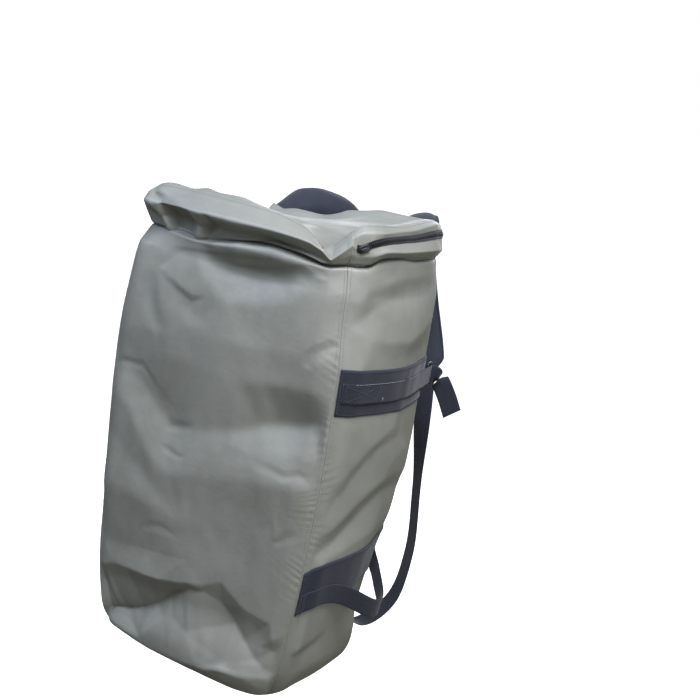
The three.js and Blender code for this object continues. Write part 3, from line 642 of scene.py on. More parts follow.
def puckers(side, s, z):
    """Short uneven gathers that run out from the stitched upright seams."""
    run = wall_run(side, z)
    high = np.zeros_like(s)
    for is_last, distance, seed in zip((False, True), (s * run, (1 - s) * run), PUCKER_SEEDS):
        level = z + LEAN * distance * slow_waves(z, seed, LEAN_WAVES)[0]
        shift = sum(size * wave for size, wave in zip(SHIFTS, slow_waves(level, seed, SHIFT_WAVES)))
        gather = np.sin(2 * math.pi * level / PUCKER_PITCH + shift)
        waves = zip(STRENGTHS, slow_waves(z, seed, STRENGTH_WAVES))
        strength = math.prod(1 - size + size * wave for size, wave in waves)
        if side == "rear" and is_last:
            strong = 1 - STRONG + STRONG * slow_waves(z, 1, STRONG_WAVES)[0]
            strong = strong * smoothstep(z, *STRONG_BOTTOM) * smoothstep(z, *STRONG_TOP)
            strength = STRONG_KEPT * strength + strong
        waves = zip(REACHES, slow_waves(z, seed, REACH_WAVES))
        reach = REACH_LEAST + sum(size * wave**2 for size, wave in waves)
        fade = np.exp(-np.maximum(0, distance - 1) / reach) * smoothstep(distance, *PUCKER_START)
        high += PUCKER_HEIGHT * strength * gather * fade
    return high * smoothstep(z, *PUCKER_BOTTOM) * smoothstep(z, *PUCKER_TOP)


# How far from the upright seams, and from the end seams, the creases reach their full height
UPRIGHT_FREE, END_FREE = 12.0, 14.0


def cloth(side, s, z):
    """The finished cloth of a side: its points."""
    points = broad_wall(side, s, z)
    normals = broad_normal(side, s, z)
    from_upright = np.minimum(s, 1 - s) * wall_run(side, z)
    inside = smoothstep(from_upright, 0, UPRIGHT_FREE) * smoothstep(np.minimum(z, TOP_Z - z), 0, END_FREE)
    high = creased(side, points, s, z) * inside + dented(side, s, z) + puckers(side, s, z)
    return points + high[..., None] * normals


def cloth_at(side, s, z):
    """Finished cloth points with their normals and level tangents, at places that needn't form a grid."""
    s, z = np.broadcast_arrays(np.asarray(s, float), np.asarray(z, float))
    along = cloth(side, s + STEP_S, z) - cloth(side, s - STEP_S, z)
    up = cloth(side, s, z + STEP_Z) - cloth(side, s, z - STEP_Z)
    return cloth(side, s, z), unit(np.cross(along, up)), unit(along)


def grid_normals(grid, closed=False):
    if closed:
        along = np.roll(grid, -1, axis=1) - np.roll(grid, 1, axis=1)
    else:
        along = np.gradient(grid, axis=1)
    return unit(np.cross(along, np.gradient(grid, axis=0)))


SEAM_EDGE = (0.0, 0.35, 0.8, 1.4, 2.2, 3.2)


def spacing(length, step, multiple, fine=None):
    """Places from 0 to length in a number of steps that is a multiple, close together at both ends and in the
    fine stretch, given by its start and its step."""
    edge = np.array(SEAM_EDGE)
    last = length - edge[-1]
    stretches = [(edge[-1], last, step)]
    if fine is not None:
        stretches = [(edge[-1], fine[0], step), (fine[0], last, fine[1])]
    counts = [max(1, round((to - start) / each)) for start, to, each in stretches]
    counts[0] += (-(sum(counts) + 2 * (len(edge) - 1))) % multiple
    middle = []
    for (start, to, _), count in zip(stretches, counts):
        middle.append(np.linspace(start, to, count, endpoint=False))
    return np.concatenate([edge[:-1], *middle, (length - edge)[::-1]])


def edge_roll(distance, radius):
    """How far cloth turns in where it is drawn into a seam."""
    inside = np.clip(1 - distance / radius, 0, 1)
    return -radius * (1 - np.sqrt(1 - inside**2))


def run_length(points):
    """The length of a line, or the mean length of a grid's lines up."""
    return float(np.linalg.norm(np.diff(points, axis=0), axis=-1).sum(0).mean())


def grid_area(grid):
    """The area of a grid of points whose columns close on themselves."""
    right = np.roll(grid, -1, axis=1)
    first = np.cross(right[:-1] - grid[:-1], grid[1:] - grid[:-1])
    second = np.cross(right[1:] - right[:-1], grid[1:] - right[:-1])
    return float((np.linalg.norm(first, axis=-1) + np.linalg.norm(second, axis=-1)).sum() / 2)


# A mask for painted light and scuffs on the cloth, neutral at this value: lower paints shade into hollows and
# creases, higher lightens ridges as scuffs and paints a highlight along the edges of strips
PLAIN_LIGHT_AND_WEAR = 0.5
RELIEF_ROUNDS, RELIEF_GAIN = 24, 0.35


class Skin:
    """Vertices, faces, cloth coordinates, and the mask for painted light and scuffs, of one piece."""

    def __init__(self):
        self.points, self.faces, self.uv, self.painted_light_and_wear, self.mats = [], [], [], [], []
        self.count = 0

    def add(self, points, uv, painted_light_and_wear=PLAIN_LIGHT_AND_WEAR):
        """Adds points, and gives their numbers in the same arrangement."""
        shape = points.shape[:-1]
        self.points.append(points.reshape(-1, 3))
        self.uv.append(np.asarray(uv, float).reshape(-1, 2))
        self.painted_light_and_wear.append(np.broadcast_to(painted_light_and_wear, shape).ravel())
        index = np.arange(self.count, self.count + math.prod(shape)).reshape(shape)
        self.count += index.size
        return index

    def quads(self, index, flip=False, closed=False):
        """Faces over a grid of vertices, with rows running up and columns to the right, seen from outside."""
        right = np.roll(index, -1, axis=1) if closed else index[:, 1:]
        left = index if closed else index[:, :-1]
        faces = np.stack([left[:-1], right[:-1], right[1:], left[1:]], -1).reshape(-1, 4)
        self.face_list(faces[:, ::-1] if flip else faces)

    def face_list(self, faces, mat=0):
        self.faces.extend(list(map(int, face)) for face in faces)
        self.mats.extend([mat] * len(faces))

    def bar(self, grid, uv=None):
        """A closed bar from its rings of points, from one end to the other."""
        index = self.add(grid, np.zeros((*grid.shape[:2], 2)) if uv is None else uv)
        self.quads(index, closed=True)
        self.face_list([index[0][::-1], index[-1]])

    def done(self, name, materials, replaced, slot):
        """The finished piece, which rides on the bag's one body."""
        mesh = bpy.data.meshes.new(name)
        mesh.from_pydata(((np.concatenate(self.points) - SHOULDER) * MM).tolist(), [], self.faces)
        mesh.polygons.foreach_set("use_smooth", np.ones(len(mesh.polygons), bool))
        loops = np.empty(len(mesh.loops), np.int32)
        mesh.loops.foreach_get("vertex_index", loops)
        uv = np.concatenate(self.uv)[loops] * MM
        mesh.uv_layers.new(name="cloth").data.foreach_set("uv", uv.astype(np.float32).ravel())
        painted_light_and_wear = mesh.attributes.new("painted_light_and_wear", "FLOAT", "POINT")
        painted_light_and_wear.data.foreach_set("value", np.concatenate(self.painted_light_and_wear).astype(np.float32))
        for material in materials:
            mesh.materials.append(material)
        mesh.polygons.foreach_set("material_index", np.array(self.mats, np.int32))
        mesh.update()
        obj = bpy.data.objects.new(name, mesh)
        scene.collection.objects.link(obj)
        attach(obj, "root")
        if replaced:
            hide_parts(*replaced)
        return obj


def relief(grid, normals, closed=False):
    """How far each point stands out from the cloth round it, from 0 in a hollow to 1 on a ridge: the mask
    that paints shade into the hollows and lightens the ridges.
    """
    soft = grid.copy()
    for _ in range(RELIEF_ROUNDS):
        padded = np.pad(soft, ((1, 1), (1, 1), (0, 0)), mode="edge")
        if closed:
            padded[:, 0], padded[:, -1] = padded[:, -2], padded[:, 1]
        soft = (padded[:-2, 1:-1] + padded[2:, 1:-1] + padded[1:-1, :-2] + padded[1:-1, 2:]) / 4
    return np.clip(PLAIN_LIGHT_AND_WEAR + ((grid - soft) * normals).sum(-1) * RELIEF_GAIN, 0, 1)


def sheet_skin(grid, normals, low, high, uv, step, painted_light_and_wear=PLAIN_LIGHT_AND_WEAR):
    """A closed sheet over a grid, fine outside and coarser inside."""
    low, high = (np.broadcast_to(off, grid.shape[:2])[..., None] for off in (low, high))
    skin = Skin()
    outer = skin.add(grid + normals * high, uv, painted_light_and_wear)
    inner = skin.add((grid + normals * low)[::step, ::step], uv[::step, ::step])
    skin.quads(outer)
    skin.quads(inner, flip=True)
    borders = [
        (outer[0, :], inner[0, :]),
        (outer[:, -1], inner[:, -1]),
        (outer[-1, ::-1], inner[-1, ::-1]),
        (outer[::-1, 0], inner[::-1, 0]),
    ]
    for fine, coarse in borders:
        for k in range(len(coarse) - 1):
            edge = fine[k * step : (k + 1) * step + 1]
            skin.face_list([[coarse[k], coarse[k + 1], *edge[::-1]]])
    return skin


def disc_skin(rings, normals, middle, middle_normal, step, flip, painted_light_and_wear):
    """A closed disc from rings that run from its rim to near its middle, fine outside and coarser inside."""
    skin = Skin()
    outer = skin.add(rings, rings[..., :2], painted_light_and_wear)
    inner = skin.add((rings - normals * WALL)[::step, ::step], rings[::step, ::step, :2])
    tops, lows = (skin.add(tip[None], middle[:2]) for tip in (middle, middle - middle_normal * WALL))
    skin.quads(outer, flip=flip, closed=True)
    skin.quads(inner, flip=not flip, closed=True)
    for ring, tip, flipped in ((outer[-1], tops[0], flip), (inner[-1], lows[0], not flip)):
        fan = [[a, b, tip] for a, b in zip(ring, np.roll(ring, -1))]
        skin.face_list([face[::-1] for face in fan] if flipped else fan)
    rim, low_rim = outer[0], inner[0]
    count = len(low_rim)
    for k in range(count):
        edge = [rim[(k * step + i) % len(rim)] for i in range(step + 1)]
        face = [low_rim[k], low_rim[(k + 1) % count], *edge[::-1]]
        skin.face_list([face[::-1] if flip else face])
    return skin


# Materials

# Most noise lies between these values
NOISE_LOW, NOISE_HIGH = 0.3, 0.7


class Nodes:
    """Short calls to build one material's node tree."""

    def __init__(self, name):
        self.material = bpy.data.materials.new(name)
        self.material.use_nodes = True
        self.tree = self.material.node_tree
        self.shader = self.tree.nodes["Principled BSDF"]

    def put(self, socket, value):
        """Links a socket to an output, or sets its value."""
        if isinstance(value, bpy.types.NodeSocket):
            self.tree.links.new(value, socket)
        else:
            socket.default_value = value

    def node(self, kind, inputs, **values):
        made = self.tree.nodes.new(kind)
        for key, value in values.items():
            setattr(made, key, value)
        for key, value in inputs.items():
            self.put(made.inputs[key], value)
        return made

    def math(self, operation, a, b=0.0, c=0.0):
        return self.node("ShaderNodeMath", {0: a, 1: b, 2: c}, operation=operation).outputs[0]

    def noise(self, scale, detail=2.0, roughness=0.5):
        place = self.node("ShaderNodeTexCoord", {}).outputs["Object"]
        inputs = {"Vector": place, "Scale": scale, "Detail": detail, "Roughness": roughness}
        return self.node("ShaderNodeTexNoise", inputs).outputs["Fac"]

    def ramp(self, value, low=0.0, high=1.0, start=NOISE_LOW, end=NOISE_HIGH):
        """A value from low to high as the given one goes from start to end."""
        inputs = {"Value": value, "From Min": start, "From Max": end, "To Min": low, "To Max": high}
        return self.node("ShaderNodeMapRange", inputs).outputs[0]

    def mix(self, factor, a, b):
        return self.node("ShaderNodeMix", {0: factor, 6: a, 7: b}, data_type="RGBA").outputs[2]

    def set(self, **values):
        for key, value in values.items():
            self.put(self.shader.inputs[key.replace("_", " ")], value)

    def bump(self, height, distance, strength, before=None):
        inputs = {"Height": height, "Distance": distance, "Strength": strength}
        if before is not None:
            inputs["Normal"] = before
        return self.node("ShaderNodeBump", inputs).outputs[0]

    def cloth_uv(self):
        uv = self.node("ShaderNodeUVMap", {}, uv_map="cloth").outputs[0]
        return self.node("ShaderNodeSeparateXYZ", {0: uv}).outputs[:2]

    def painted_light_and_wear(self):
        return self.node("ShaderNodeAttribute", {}, attribute_name="painted_light_and_wear").outputs["Fac"]

    def wave(self, at, pitch):
        return self.math("SINE", self.math("MULTIPLY", at, 2 * math.pi / pitch))

    def crossed(self, first, second):
        """Two waves over and under each other, from 0 to 1."""
        return self.math("MULTIPLY_ADD", self.math("MULTIPLY", first, second), 0.5, 0.5)


def rgba(r, g, b):
    return (r, g, b, 1.0)


def scaled(colour, share):
    return rgba(*(share * c for c in colour[:3]))


def tarpaulin_material():
    dull, pale, dusty = rgba(0.226, 0.230, 0.204), rgba(0.282, 0.287, 0.258), rgba(0.306, 0.312, 0.284)
    hollow, worn_and_highlight = rgba(0.160, 0.164, 0.142), rgba(0.372, 0.378, 0.356)
    thread_pitch = 0.0011
    n = Nodes("tarpaulin")
    u, v = n.cloth_uv()
    painted_light_and_wear = n.painted_light_and_wear()
    base = n.mix(n.ramp(n.noise(7.0, 4.0, 0.55)), dull, pale)
    base = n.mix(n.ramp(n.noise(55.0, 3.0, 0.6), 0.0, 0.35, 0.35, 0.75), base, dusty)
    # Darker in the hollows and creases of the cloth: painted shade
    base = n.mix(n.ramp(painted_light_and_wear, 0.35, 0.0, 0.0, 0.3), base, hollow)
    # Lighter on the ridges, as scuffs, and along the edges of strips: a painted highlight
    base = n.mix(n.ramp(painted_light_and_wear, 0.0, 0.35, 0.75, 1.0), base, worn_and_highlight)
    n.set(Base_Color=base, Roughness=n.ramp(n.noise(26.0, 4.0, 0.6), 0.40, 0.56))
    n.set(Specular_IOR_Level=0.5, Coat_Weight=0.12, Coat_Roughness=0.32)
    grain = n.bump(n.noise(150.0, 3.0, 0.5), 0.0008, 0.35)
    threads = n.crossed(n.wave(u, thread_pitch), n.wave(v, thread_pitch))
    n.set(Normal=n.bump(threads, 0.00012, 0.6, grain))
    return n.material


def webbing_material(name, dark, light):
    rib_pitch, twill_pitch = 0.0021, 0.0029
    n = Nodes(name)
    u, v = n.cloth_uv()
    pattern = n.crossed(n.wave(u, rib_pitch), n.wave(n.math("ADD", u, v), twill_pitch))
    fuzz = n.noise(240.0, 3.0, 0.6)
    base = n.mix(n.ramp(fuzz), dark, light)
    base = n.mix(n.ramp(pattern, 0.18, 0.0, 0.0, 1.0), base, scaled(dark, 0.6))
    # Lighter along a strip's edges, from the mask: a painted highlight where the edges catch the light
    base = n.mix(n.ramp(n.painted_light_and_wear(), 0.0, 0.55, 0.6, 1.0), base, scaled(light, 2.1))
    n.set(Base_Color=base, Roughness=n.ramp(fuzz, 0.72, 0.9), Specular_IOR_Level=0.3)
    n.set(Sheen_Weight=0.25, Sheen_Roughness=0.45)
    n.set(Normal=n.bump(fuzz, 0.0003, 0.4, n.bump(pattern, 0.0002, 0.5)))
    return n.material


def padding_material():
    dark, light, gaps = rgba(0.018, 0.022, 0.038), rgba(0.030, 0.035, 0.056), rgba(0.011, 0.013, 0.022)
    thread_pitch = 0.0016
    n = Nodes("padding")
    u, v = n.cloth_uv()
    threads = n.crossed(n.wave(u, thread_pitch), n.wave(v, thread_pitch))
    fuzz = n.noise(160.0, 3.0, 0.6)
    base = n.mix(n.ramp(threads, 0.3, 0.0, 0.0, 1.0), n.mix(n.ramp(fuzz), dark, light), gaps)
    n.set(Base_Color=base, Roughness=n.ramp(fuzz, 0.6, 0.78), Specular_IOR_Level=0.35)
    n.set(Sheen_Weight=0.3, Sheen_Roughness=0.4)
    n.set(Normal=n.bump(threads, 0.0003, 0.7, n.bump(n.noise(60.0), 0.002, 0.3)))
    return n.material


def plastic_material():
    dark, light = rgba(0.010, 0.011, 0.015), rgba(0.020, 0.021, 0.027)
    n = Nodes("black_plastic")
    cloud = n.noise(90.0, 3.0, 0.6)
    n.set(Base_Color=n.mix(n.ramp(cloud), dark, light), Roughness=n.ramp(cloud, 0.3, 0.44))
    n.set(Normal=n.bump(n.noise(900.0), 0.0001, 0.5))
    return n.material


def thread_material(name, dark, light):
    n = Nodes(name)
    twist = n.noise(1400.0, 2.0, 0.5)
    n.set(Base_Color=n.mix(twist, dark, light), Roughness=0.7, Normal=n.bump(twist, 0.0002, 0.5))
    return n.material


TARPAULIN = tarpaulin_material()
WEBBING = webbing_material("webbing", rgba(0.015, 0.018, 0.029), rgba(0.026, 0.031, 0.047))
ZIP_CLOTH = webbing_material("zip_cloth", rgba(0.010, 0.011, 0.015), rgba(0.018, 0.019, 0.026))
PADDING = padding_material()
PLASTIC = plastic_material()
GREY_THREAD = thread_material("grey_thread", rgba(0.17, 0.18, 0.16), rgba(0.36, 0.37, 0.35))
NAVY_THREAD = thread_material("navy_thread", rgba(0.03, 0.035, 0.05), rgba(0.10, 0.11, 0.15))
# Pale thread: for the tacks, and for a row that paints the highlight on the upper right strap's top edge
PALE_THREAD = thread_material("pale_thread", rgba(0.22, 0.23, 0.25), rgba(0.42, 0.43, 0.45))

# The sewn body: the spacing of the cloth's points, which is finer above a height where the roll is
PANEL_STEP = {"rear": 2.0, "right": 2.2, "front": 3.6, "left": 3.2}
FINE_FROM = 560.0
FINE_STEP = {"rear": 1.15, "right": 1.25, "front": 2.4, "left": 2.2}
INNER_STEP = 4
UPRIGHT_SEAM, TOP_SEAM, BOTTOM_SEAM = 0.55, 2.4, 1.6
panels = {}


def side_panel(side):
    length = side_run(side)
    across = spacing(length, PANEL_STEP[side], INNER_STEP)
    up = spacing(TOP_Z, PANEL_STEP[side], INNER_STEP, (FINE_FROM, FINE_STEP[side]))
    s, z = np.meshgrid(across / length, up)
    points = cloth(side, s, z)
    normals = grid_normals(points)
    rolled = edge_roll(np.minimum(across, length - across), UPRIGHT_SEAM)[None, :]
    rolled = rolled + (edge_roll(up, BOTTOM_SEAM) + edge_roll(TOP_Z - up, TOP_SEAM))[:, None]
    points = points + rolled[..., None] * normals
    panels[side] = {"points": points, "normals": normals, "across": across, "up": up, "length": length}
    uv = np.stack([s * length, z], -1)
    skin = sheet_skin(points, normals, -WALL, 0.0, uv, INNER_STEP, relief(points, normals))
    made = skin.done(f"{side}_panel_cloth", [TARPAULIN], [f"{side}_panel"], "tarpaulin")
    flat = run_length(points.swapaxes(0, 1)) * MM, run_length(points) * MM


for side in SIDES:
    side_panel(side)

# The two ends: the spacing of their points, the way from rim to middle and how much of it the rings cover
END_STEP = {True: 2.6, False: 4.0}
END_WAY, END_COVERED, END_RINGS = 120.0, 0.97, 44
END_ALLOWANCE, END_AREA_SHARE = 40.0, 0.99
# The crease close behind the fold that carries the zip, and where along the right side it starts and ends
CREASE_IN, CREASE_HALF, CREASE_DEEP = 11.0, 9.0, 8.0
CREASE_START, CREASE_END = (0.0, 0.14), (0.95, 0.4)
# How far in the shape of the seam carries, and how fast it is smoothed on the way
CARRY, CARRY_ROUNDS = 0.6, 4


def end_crease(side, s, inset):
    """How far the sunken top drops close behind the fold that carries the zip."""
    if side != "right":
        return np.zeros(s.shape)
    off = np.minimum(1, np.abs(inset - CREASE_IN) / CREASE_HALF)
    return CREASE_DEEP * smoothstep(s, *CREASE_START) * smoothstep(s, *CREASE_END) * (1 - off**2) ** 2


def end_panel(is_top):
    seam_z = TOP_Z if is_top else 0.0
    inward = np.linspace(SEAM_EDGE[-1] / END_WAY, END_COVERED, END_RINGS)[1:]
    inward = np.concatenate([np.array(SEAM_EDGE) / END_WAY, inward])
    inward = inward[: (len(inward) - 1) // INNER_STEP * INNER_STEP + 1]
    parts, carried = [], []
    for side in SIDES:
        count = INNER_STEP * max(1, round(side_run(side, seam_z) / END_STEP[is_top] / INNER_STEP))
        s, t = np.meshgrid(np.arange(count) / count, inward)
        part = folded(plain_end(is_top, side, s, t))
        carried.append(broad_wall(side, s[0], np.full(count, seam_z)) - part[0])
        if is_top:
            part[..., 2] -= end_crease(side, s, t * END_WAY)
        parts.append(part)
    rings = np.concatenate(parts, axis=1)
    moved = np.concatenate(carried)
    for ring, share in zip(rings, inward):
        ring += moved * smoothstep(share, CARRY, 0.0)
        for _ in range(CARRY_ROUNDS if share * END_WAY > SEAM_EDGE[-1] else 0):
            moved = moved / 2 + (np.roll(moved, 1, axis=0) + np.roll(moved, -1, axis=0)) / 4
    outward = 1.0 if is_top else -1.0
    normals = grid_normals(rings, closed=True) * outward
    rings = rings + edge_roll(inward * END_WAY, TOP_SEAM if is_top else BOTTOM_SEAM)[:, None, None] * normals
    middle = folded(plain_end(is_top, "rear", np.array([0.5]), np.array([1.0])))[0]
    name = "top_end_panel" if is_top else "bottom_end_panel"
    panels[name] = {"points": rings, "normals": normals}
    painted_light_and_wear = relief(rings, normals, closed=True)
    skin = disc_skin(rings, normals, middle, np.array([0, 0, outward]), INNER_STEP, not is_top, painted_light_and_wear)
    made = skin.done(f"{name}_cloth", [TARPAULIN], [name], "tarpaulin")
    flat = (np.ptp(rings[0], axis=0)[:2] + END_ALLOWANCE) * MM
    area = min(grid_area(rings) * MM**2, END_AREA_SHARE * flat.prod())


for is_top in (True, False):
    end_panel(is_top)

# Stitching
STITCH, STITCH_GAP, THREAD = 2.9, 1.0, 0.34
STITCH_ARCH = ((0.0, -0.5), (0.2, 0.5), (0.5, 0.75), (0.8, 0.5), (1.0, -0.5))
STITCH_START, STITCH_SIDES, END_TAPER = 0.5, 5, 0.45
SEAM_MARGIN, END_STITCH_RING = 4.0, 6


def far_along(line):
    """How far along a line each of its points is."""
    return np.concatenate([[0], np.cumsum(np.linalg.norm(np.diff(line, axis=0), axis=1))])


def line_at(at, far, line):
    """Points at given distances along a line."""
    return np.stack([np.interp(at, far, line[:, k]) for k in range(3)], -1)


def tubes(name, lines, normals, radius, sides, material, replaced, slot):
    """Many short round bars with narrow ends in one piece, each along its own few points."""
    skin = Skin()
    turn = np.linspace(0, 2 * math.pi, sides, endpoint=False)
    for line, normal in zip(lines, normals):
        along = unit(np.gradient(line, axis=0))
        out = unit(normal - (normal * along).sum(-1, keepdims=True) * along)
        wide = np.cross(along, out)
        size = np.full(len(line), radius)
        size[[0, -1]] *= END_TAPER
        ring = np.cos(turn)[None, :, None] * wide[:, None] + np.sin(turn)[None, :, None] * out[:, None]
        skin.bar(line[:, None] + ring * size[:, None, None])
    return skin.done(name, [material], replaced, slot)


class Thread:
    """The stitches made with one thread, collected run by run."""

    def __init__(self, stitch=STITCH, gap=STITCH_GAP, radius=THREAD):
        self.lines, self.normals = [], []
        self.stitch, self.gap, self.radius = stitch, gap, radius

    def run(self, points, normals, off=0.0):
        """Stitches along closely spaced points on a surface, some way off it."""
        far = far_along(points)
        share, arch = np.array(STITCH_ARCH).T
        for start in np.arange(STITCH_START, far[-1] - self.stitch, self.stitch + self.gap):
            at = start + self.stitch * share
            out = unit(line_at(at, far, normals))
            self.lines.append(line_at(at, far, points) + (off + self.radius * arch)[:, None] * out)
            self.normals.append(out)

    def done(self, name, material, slot):
        return tubes(name, self.lines, self.normals, self.radius, STITCH_SIDES, material, (), slot)


def panel_run(side, across=None, up=None):
    """A run up a panel at a distance from its first seam, or across it at a height, with its normals."""
    panel = panels[side]
    places, at, axis = (panel["across"], across, 1) if up is None else (panel["up"], up, 0)
    k = np.searchsorted(places, at, side="right") - 1
    share = (at - places[k]) / (places[k + 1] - places[k])
    grids = panel["points"], panel["normals"]
    return [(1 - share) * grid.take(k, axis) + share * grid.take(k + 1, axis) for grid in grids]


body_thread = Thread()
for side in SIDES:
    for across in (SEAM_MARGIN, panels[side]["length"] - SEAM_MARGIN):
        body_thread.run(*panel_run(side, across=across))
    for up in (SEAM_MARGIN, TOP_Z - SEAM_MARGIN):
        body_thread.run(*panel_run(side, up=up))
for name in ("top_end_panel", "bottom_end_panel"):
    rings = (panels[name][key][END_STITCH_RING] for key in ("points", "normals"))
    body_thread.run(*(np.concatenate([ring, ring[:1]]) for ring in rings))
body_thread.done("body_stitches", GREY_THREAD, "tarpaulin")

# Strips of webbing and cloth: the ending of the piece's name, the material, its slot and the thickness
NAVY_WEB = ("webbing", WEBBING, "webbing", WEB)
STRIP_STEP, STRIP_ACROSS, LEAST_STEPS = 2.5, 10, 8
RIM, RIM_SHARE, EDGE_CROWDING = 0.05, 0.05, 1.6


def across_strip(count):
    """Places across a strip from -0.5 to 0.5, closer together at its edges."""
    v = np.linspace(-0.5, 0.5, count + 1)
    return np.sign(v) * 0.5 * (1 - (1 - 2 * np.abs(v)) ** EDGE_CROWDING)


def strip_skin(grid, normals, off, thickness, uv, v):
    """A strip with rounded edges whose middle is some way off a grid of points."""
    edge = 1 - np.minimum(0.5 - np.abs(v), RIM) / RIM
    half = thickness * (RIM_SHARE + (0.5 - RIM_SHARE) * np.sqrt(np.clip(1 - edge**2, 0, 1)))
    # The mask rises to full at the rounded edges, which paints a highlight along them
    return sheet_skin(grid, normals, off - half, off + half, uv, 1, PLAIN_LIGHT_AND_WEAR + (1 - PLAIN_LIGHT_AND_WEAR) * edge)


def strip(node, side, from_s, to_s, width, centre, gap, stuff=NAVY_WEB, lift=None):
    """A strip sewn along a side, named after the node that it stands for."""
    ending, material, slot, thickness = stuff
    run = side_run(side)
    count = max(LEAST_STEPS, round((to_s - from_s) * run / STRIP_STEP))
    s, v = np.meshgrid(np.linspace(from_s, to_s, count + 1), across_strip(STRIP_ACROSS))
    z = centre(s) + v * width
    points = cloth(side, s, z)
    if lift is not None:
        points = points + lift(s)[..., None] * broad_normal(side, s, z)
    uv = np.stack([s * run, v * width], -1)
    skin = strip_skin(points, grid_normals(points), gap + thickness / 2, thickness, uv, v)
    made = skin.done(f"{node}_{ending}", [material], [node], slot)
    flat = width * MM, run_length(points.swapaxes(0, 1)) * MM


# The bands and straps across the right and left sides
BAND_FROM, BAND_TO = 0.012, {"right": 0.988, "left": 0.9}
STRAP_FROM, STRAP_TO = 0.035, {"right": 0.965, "left": 0.875}
ON_WALL = 0.3
ON_BAND = ON_WALL + WEB + 0.15
ON_STRAP = ON_BAND + WEB
UPPER_Z = 428.0
LOWER_Z, LOWER_RISE, LOWER_DIP, LOWER_DIP_TO = 166.0, 22.0, 10.0, 0.2
SLACK_LIFT, SLACK_DROOP, SLACK_OFFSET, SLACK_BIAS = 38.0, 34.0, -16.0, 1.9
SLACK_FROM, SLACK_SPAN = 0.06, 0.88


def upper_height(s):
    return UPPER_Z + 0 * s


def lower_height(s):
    return LOWER_Z + LOWER_RISE * s - LOWER_DIP * np.maximum(0, 1 - s / LOWER_DIP_TO) ** 2


HEIGHTS = {"upper": upper_height, "lower": lower_height}


def height_on(side, height):
    """A height that is given from the rear seam on, for a side that may run the other way."""
    return height if side == "right" else lambda s: height(1 - s)


def slack_shape(s):
    return np.sin(math.pi * np.clip((s - SLACK_FROM) / SLACK_SPAN, 0, 1) ** SLACK_BIAS) ** 2


def slack_height(s):
    return lower_height(s) + SLACK_OFFSET - SLACK_DROOP * slack_shape(s)


for side in ("right", "left"):
    for level, height in HEIGHTS.items():
        seen = height_on(side, height)
        strip(f"{level}_band_{side}", side, BAND_FROM, BAND_TO[side], BAND_WIDTH, seen, ON_WALL)
for level, height in HEIGHTS.items():
    seen = height_on("left", height)
    strip(f"{level}_strap_left", "left", STRAP_FROM, STRAP_TO["left"], STRAP_WIDTH, seen, ON_BAND)
strip("lower_strap_right", "right", STRAP_FROM, STRAP_TO["right"], STRAP_WIDTH, slack_height, ON_BAND,
      lift=lambda s: SLACK_LIFT * slack_shape(s))

# Stitches on the webbing, and a pale row of stitches that paints the highlight along the upper right strap's
# top edge
EDGE_MARGIN, END_MARGIN = 3.0, 0.01
PATCH_FROM, PATCH_TO, PATCH_HALF = 0.05, 0.28, 10.0
# Where the pale row that paints the upper right strap's edge highlight starts and ends, and how far inside
# that edge it lies
PALE_FROM, PALE_TO, PALE_MARGIN = 0.05, 0.9, 1.2
TACK_PLACES, TACK_LOW, TACK_HIGH = (0.31, 0.316), -11.5, -4.5
SLACK_END_PLACES, SLACK_END_HALF = (0.045, 0.065), 10.5
BAND_POINTS, EDGE_POINTS, PATCH_POINTS, END_POINTS, TACK_POINTS = 160, 120, 60, 40, 20
navy_stitches = Thread()
# The pale thread sews the tacks and also paints the highlight along the upper right strap's top edge
pale_highlight_and_tack_stitches = Thread(stitch=5.0, gap=0.5, radius=0.3)


def sewn_line(thread, side, s, z, off):
    points, normals, _ = cloth_at(side, s, z)
    thread.run(points, normals, off)


def sewn_band(side, height):
    """Stitches all round a band."""
    s = np.linspace(BAND_FROM + END_MARGIN, BAND_TO[side] - END_MARGIN, BAND_POINTS)
    margin = BAND_WIDTH / 2 - EDGE_MARGIN
    for z in (margin, -margin):
        sewn_line(navy_stitches, side, s, height(s) + z, ON_WALL + WEB)
    across = np.linspace(-margin, margin, END_POINTS)
    for end in (s[0], s[-1]):
        sewn_line(navy_stitches, side, end, height(end) + across, ON_WALL + WEB)


def sewn_patch():
    """A sewn oblong with crossed diagonals, where the upper right strap starts."""
    s = np.linspace(PATCH_FROM, PATCH_TO, PATCH_POINTS)
    even = np.linspace(-PATCH_HALF, PATCH_HALF, PATCH_POINTS)
    for z in (PATCH_HALF, -PATCH_HALF, even, -even):
        sewn_line(navy_stitches, "right", s, UPPER_Z + z, ON_STRAP)
    for end in (PATCH_FROM, PATCH_TO):
        sewn_line(navy_stitches, "right", end, UPPER_Z + even, ON_STRAP)


for side in ("right", "left"):
    for height in HEIGHTS.values():
        sewn_band(side, height_on(side, height))
sewn_patch()
# A pale row of stitches along the upper right strap's top edge: a painted highlight where that edge catches
# the light
strap_edge = np.linspace(PALE_FROM, PALE_TO, EDGE_POINTS)
sewn_line(pale_highlight_and_tack_stitches, "right", strap_edge, UPPER_Z + STRAP_WIDTH / 2 - PALE_MARGIN, ON_STRAP)
for place in TACK_PLACES:
    across = np.linspace(TACK_LOW, TACK_HIGH, TACK_POINTS)
    sewn_line(pale_highlight_and_tack_stitches, "right", place, UPPER_Z + across, ON_STRAP)
for place in SLACK_END_PLACES:
    across = np.linspace(-SLACK_END_HALF, SLACK_END_HALF, TACK_POINTS)
    sewn_line(navy_stitches, "right", place, lower_height(place) + SLACK_OFFSET + across, ON_STRAP)

# Straps along free lines
SPAN_POINTS = 48


